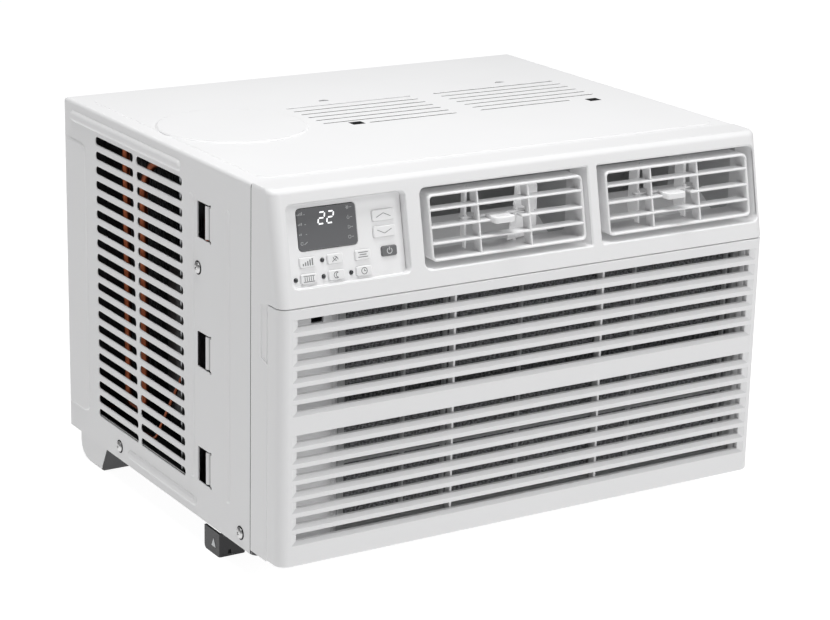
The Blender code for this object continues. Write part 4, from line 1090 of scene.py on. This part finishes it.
def vane(side, index, blade_turn):
    middle = LOUVRES[side] + VANES[index]
    low, high, chord, round_off = 0.234, 0.28, 0.026, 0.008
    lip, slat_gap = 0.0012, 0.0015
    lead = VANE_DEEP - slope_deep(low) - 0.012 - slat_gap
    knee = low + (lead - lip) / math.tan(LEAN)
    outline = [(-lead, low), (-lip, knee), (-lip, high)]
    for cx, cy, start in ((chord - round_off, high - round_off, 90), (chord - round_off, low + round_off, 0)):
        outline += [spoke(cx, cy, round_off, math.radians(start - a)) for a in range(0, 91, 15)]

    def turned_at(x, d, up, angle):
        cosine, sine = math.cos(angle), math.sin(angle)
        return at(middle + x * cosine - d * sine, VANE_DEEP + x * sine + d * cosine, up)

    centre = (0.009, 0.257)
    sections = []
    for x, pull in ((-0.0008, 0.0004), (-0.0005, 0.0), (0.0005, 0.0), (0.0008, 0.0004)):
        ring = []
        for d, u in outline:
            away = Vector((d - centre[0], u - centre[1]))
            spot = Vector((d, u)) - away.normalized() * pull
            ring.append(turned_at(x, spot.x, spot.y, blade_turn))
        sections.append(ring)
    notch = [
        [turned_at(x, d, u, blade_turn) for x, d in rounded(-0.003, 0.003, -0.02, -0.0014, 0, 1)]
        for u in (0.2545, 0.2622)
    ]
    pins = rods((at(middle, VANE_DEEP, 0.2315), at(middle, VANE_DEEP, 0.2825), 0.0012), sides=12)
    arm = [
        [turned_at(x, d, u, -VANE_TURN) for x, d in rounded(-0.0014, 0.0014, -VANE_ARM - 0.0014, 0.0005, 0.0008, 3)]
        for u in (0.256, 0.2577)
    ]
    peg_place = turned_at(0, -VANE_ARM, 0, -VANE_TURN)
    peg = rods((peg_place + Vector((0, 0, 0.257)), peg_place + Vector((0, 0, 0.2612)), 0.0011), sides=12)
    # The vanes glow a little: painted light
    piece(
        f"air_vane_{side}_{index + 1}", combine(lofts(sections), [("DIFFERENCE", lofts(notch))]), "painted_light_vane",
        f"vane_{side}_{index + 1}", [f"vane_{side}_{index + 1}"], add=[pins, lofts(arm), peg], crisp=35,
    )


# Inside the casing

def tube(name, route, radius, cad, sides=14):
    """A bent copper tube with eased corners."""
    points = [at(*spot) for spot in route]
    eased = [points[0]]
    for before, corner, after in zip(points, points[1:], points[2:]):
        reach = min(3.5 * radius, (before - corner).length * 0.45, (after - corner).length * 0.45)
        start = corner + (before - corner).normalized() * reach
        end = corner + (after - corner).normalized() * reach
        for step in range(7):
            share = step / 6
            eased.append(start.lerp(corner, share).lerp(corner.lerp(end, share), share))
    eased.append(points[-1])
    normal = None
    sections = []
    for i, point in enumerate(eased):
        ahead = eased[min(i + 1, len(eased) - 1)] - eased[max(i - 1, 0)]
        ahead.normalize()
        if normal is None:
            normal = ahead.orthogonal().normalized()
        normal = (normal - ahead * normal.dot(ahead)).normalized()
        across = ahead.cross(normal)
        sections.append([
            point + normal * (radius * math.cos(2 * math.pi * k / sides)) + across * (radius * math.sin(2 * math.pi * k / sides))
            for k in range(sides)
        ])
    piece(name, lofts(sections), "copper_tube", "cabinet", [cad], crisp=60)


def finned(name, cad, across, deep, up, pitch):
    """A coil's block of thin upright fins between two end plates."""
    start, end = across
    near, far = deep
    notch = 0.0035
    front, back = [], []
    x = start + 0.002
    front += [(start, near), (x, near)]
    back += [(start, far), (x, far)]
    while x + pitch < end - 0.002:
        fin = pitch * 0.38
        for edge, row, sign in ((near, front, 1), (far, back, -1)):
            inner = edge + sign * notch
            row += [
                (x, inner), (x + pitch - fin, inner), (x + pitch - fin, edge + sign * 0.0005),
                (x + pitch, edge + sign * 0.0005),
            ]
        x += pitch
    front += [(x, near), (end, near)]
    back += [(x, far), (end, far)]
    outline = front + back[::-1]
    core = stood(outline, (up[0] + 0.001, up[1] - 0.001))
    return piece(name, lofts(core), "fins", "cabinet", [cad], crisp=30)


def compressor():
    centre = at(0.088, 0.262, 0)
    profile = (
        (0.0, 0.0045), (0.038, 0.0048), (0.044, 0.01), (0.0475, 0.02), (0.049, 0.04), (0.049, 0.108), (0.05, 0.11),
        (0.05, 0.116), (0.049, 0.118), (0.049, 0.155), (0.047, 0.17), (0.042, 0.182), (0.034, 0.191), (0.024, 0.1965),
        (0.012, 0.1988), (0.0, 0.199),
    )
    piece(
        "compressor_shell", lofts(turned(profile, centre, UPWARD, 48)), "black_shell", "cabinet",
        ["compressor"], crisp=50,
    )
    can = (
        (0.0, 0.062), (0.005, 0.0625), (0.011, 0.066), (0.0145, 0.073), (0.015, 0.08), (0.015, 0.172), (0.0145, 0.178),
        (0.011, 0.185), (0.006, 0.189), (0.0, 0.19),
    )
    piece(
        "accumulator_can", lofts(turned(can, at(0.042, 0.196, 0), UPWARD, 32)), "black_shell", "cabinet",
        ["accumulator"], crisp=50,
    )
    cover = slab(on_left, (0.245, 0.279, 0.09, 0.15), 0.004, (0, -0.1395), (0, -0.154), (-0.001, -0.1556), (-0.002, -0.156))
    piece("terminal_box", lofts(cover), "black_moulded", "cabinet", ["terminal_cover"])
    capacitor = turned(
        (
            (0.0, 0.01), (0.019, 0.01), (0.02, 0.011), (0.02, 0.081), (0.0205, 0.082), (0.0205, 0.084), (0.019, 0.085),
            (0.0, 0.085),
        ),
        at(0.42, 0.205, 0), UPWARD, 32,
    )
    piece("capacitor_can", lofts(capacitor), "motor_can", "cabinet", ["run_capacitor"], crisp=40)


CARRIED_OVER = {
    "zinc_sheet": ("bulkhead", "motor_bracket", "control_box"),
    "foam": ("blower_scroll",),
    "duct_grey": ("discharge_duct",),
    "black_moulded": ("condenser_shroud", "blower_wheel", "condenser_fan"),
    "motor_can": ("fan_motor",),
    "bright_zinc": ("motor_shaft",),
    "circuit_green": ("control_board",),
    "lens": ("light_pipe",),
}


def carried_over():
    for paint, names in CARRIED_OVER.items():
        for name in names:
            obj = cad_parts[name]
            obj.data.materials.clear()
            obj.data.materials.append(MATERIALS[paint])


# Setting

def setting():
    camera_data = bpy.data.cameras.new("camera")
    camera_data.lens, camera_data.sensor_width = CAMERA_LENS, CAMERA_SENSOR
    camera_data.clip_start, camera_data.clip_end = 0.05, 50
    camera = bpy.data.objects.new("camera", camera_data)
    bpy.context.scene.collection.objects.link(camera)
    azimuth, elevation, roll = (math.radians(angle) for angle in CAMERA_ANGLES)
    back = Vector((math.sin(azimuth) * math.cos(elevation), -math.cos(azimuth) * math.cos(elevation), math.sin(elevation)))
    right = Vector((math.cos(azimuth), math.sin(azimuth), 0))
    up = back.cross(right)
    right_rolled = right * math.cos(roll) + up * math.sin(roll)
    up_rolled = up * math.cos(roll) - right * math.sin(roll)
    turn = Matrix((right_rolled, up_rolled, back)).transposed()
    camera.matrix_world = Matrix.Translation(CAMERA_PLACE) @ turn.to_4x4()
    bpy.context.scene.camera = camera

    floor_mesh = bpy.data.meshes.new("floor")
    corners = [(x * FLOOR_REACH, y * FLOOR_REACH, 0) for x, y in ((-1, -1), (1, -1), (1, 1), (-1, 1))]
    floor_mesh.from_pydata(corners, [], [(0, 1, 2, 3)])
    floor = bpy.data.objects.new("floor", floor_mesh)
    bpy.context.scene.collection.objects.link(floor)
    floor_mesh.materials.append(material("pale_floor", (0.26, 0.26, 0.26), 0.9, grain=60, bump=0.02, vary=0.004, glow=3.65))

    world = bpy.data.worlds.new("studio")
    world.use_nodes = True
    world.node_tree.nodes["Background"].inputs["Color"].default_value = (1.0, 1.0, 1.0, 1)
    world.node_tree.nodes["Background"].inputs["Strength"].default_value = WORLD
    bpy.context.scene.world = world
    for name, spot, size, power in LIGHTS:
        light = bpy.data.lights.new(name, "AREA")
        light.shape = "RECTANGLE"
        light.size, light.size_y = size
        light.energy = power
        lamp = bpy.data.objects.new(name, light)
        lamp.location = spot
        lamp.rotation_mode = "QUATERNION"
        lamp.rotation_quaternion = (Vector((0, 0, 0.15)) - Vector(spot)).to_track_quat("-Z", "Y")
        bpy.context.scene.collection.objects.link(lamp)
    bpy.context.scene.view_settings.view_transform = "Standard"
    bpy.context.scene.view_settings.look = "None"


setting()
casing()
base_pan()
sash_bracket("left", 0.002, 0.0265)
sash_bracket("right", WIDTH - 0.0265, WIDTH - 0.002)
rear_plate()
side_screws()
bezel()
outlet_linings()
grille()
air_filter()
control_panel()
for louvre_side in LOUVRES:
    louvre(louvre_side)
for vane_side, vane_index, splay in VANE_SPLAYS:
    vane(vane_side, vane_index, -VANE_TURN + math.radians(splay))
tube(
    "discharge_line",
    (
        (0.066, 0.248, 0.1985), (0.066, 0.248, 0.225), (0.045, 0.24, 0.262), (0.03, 0.238, 0.268), (0.023, 0.262, 0.27),
        (0.022, 0.284, 0.248), (0.022, 0.284, 0.04), (0.022, 0.318, 0.04), (0.022, 0.318, 0.282),
        (0.022, 0.358, 0.282), (0.0347, 0.358, 0.282),
    ),
    0.0036, "discharge_tube",
)
tube(
    "suction_line",
    (
        (0.0707, 0.072, 0.195), (0.048, 0.072, 0.195), (0.034, 0.12, 0.205), (0.034, 0.178, 0.212), (0.042, 0.196, 0.212),
        (0.042, 0.196, 0.1903),
    ),
    0.0042, "suction_tube",
)
tube(
    "capillary_line",
    (
        (0.0347, 0.356, 0.022), (0.016, 0.356, 0.022), (0.01, 0.33, 0.024), (0.01, 0.24, 0.03), (0.02, 0.19, 0.12),
        (0.02, 0.182, 0.19), (0.02, 0.165, 0.19), (0.03, 0.1, 0.06), (0.05, 0.068, 0.03), (0.0707, 0.068, 0.03),
    ),
    0.0016, "capillary_tube", 10,
)
finned("evaporator_fins", "evaporator_coil", (0.071, 0.446), (0.0545, 0.087), (0.003, 0.209), 0.0024)
finned("condenser_fins", "condenser_coil", (0.035, 0.453), (0.3455, 0.387), (-0.003, 0.291), 0.0024)
compressor()
carried_over()
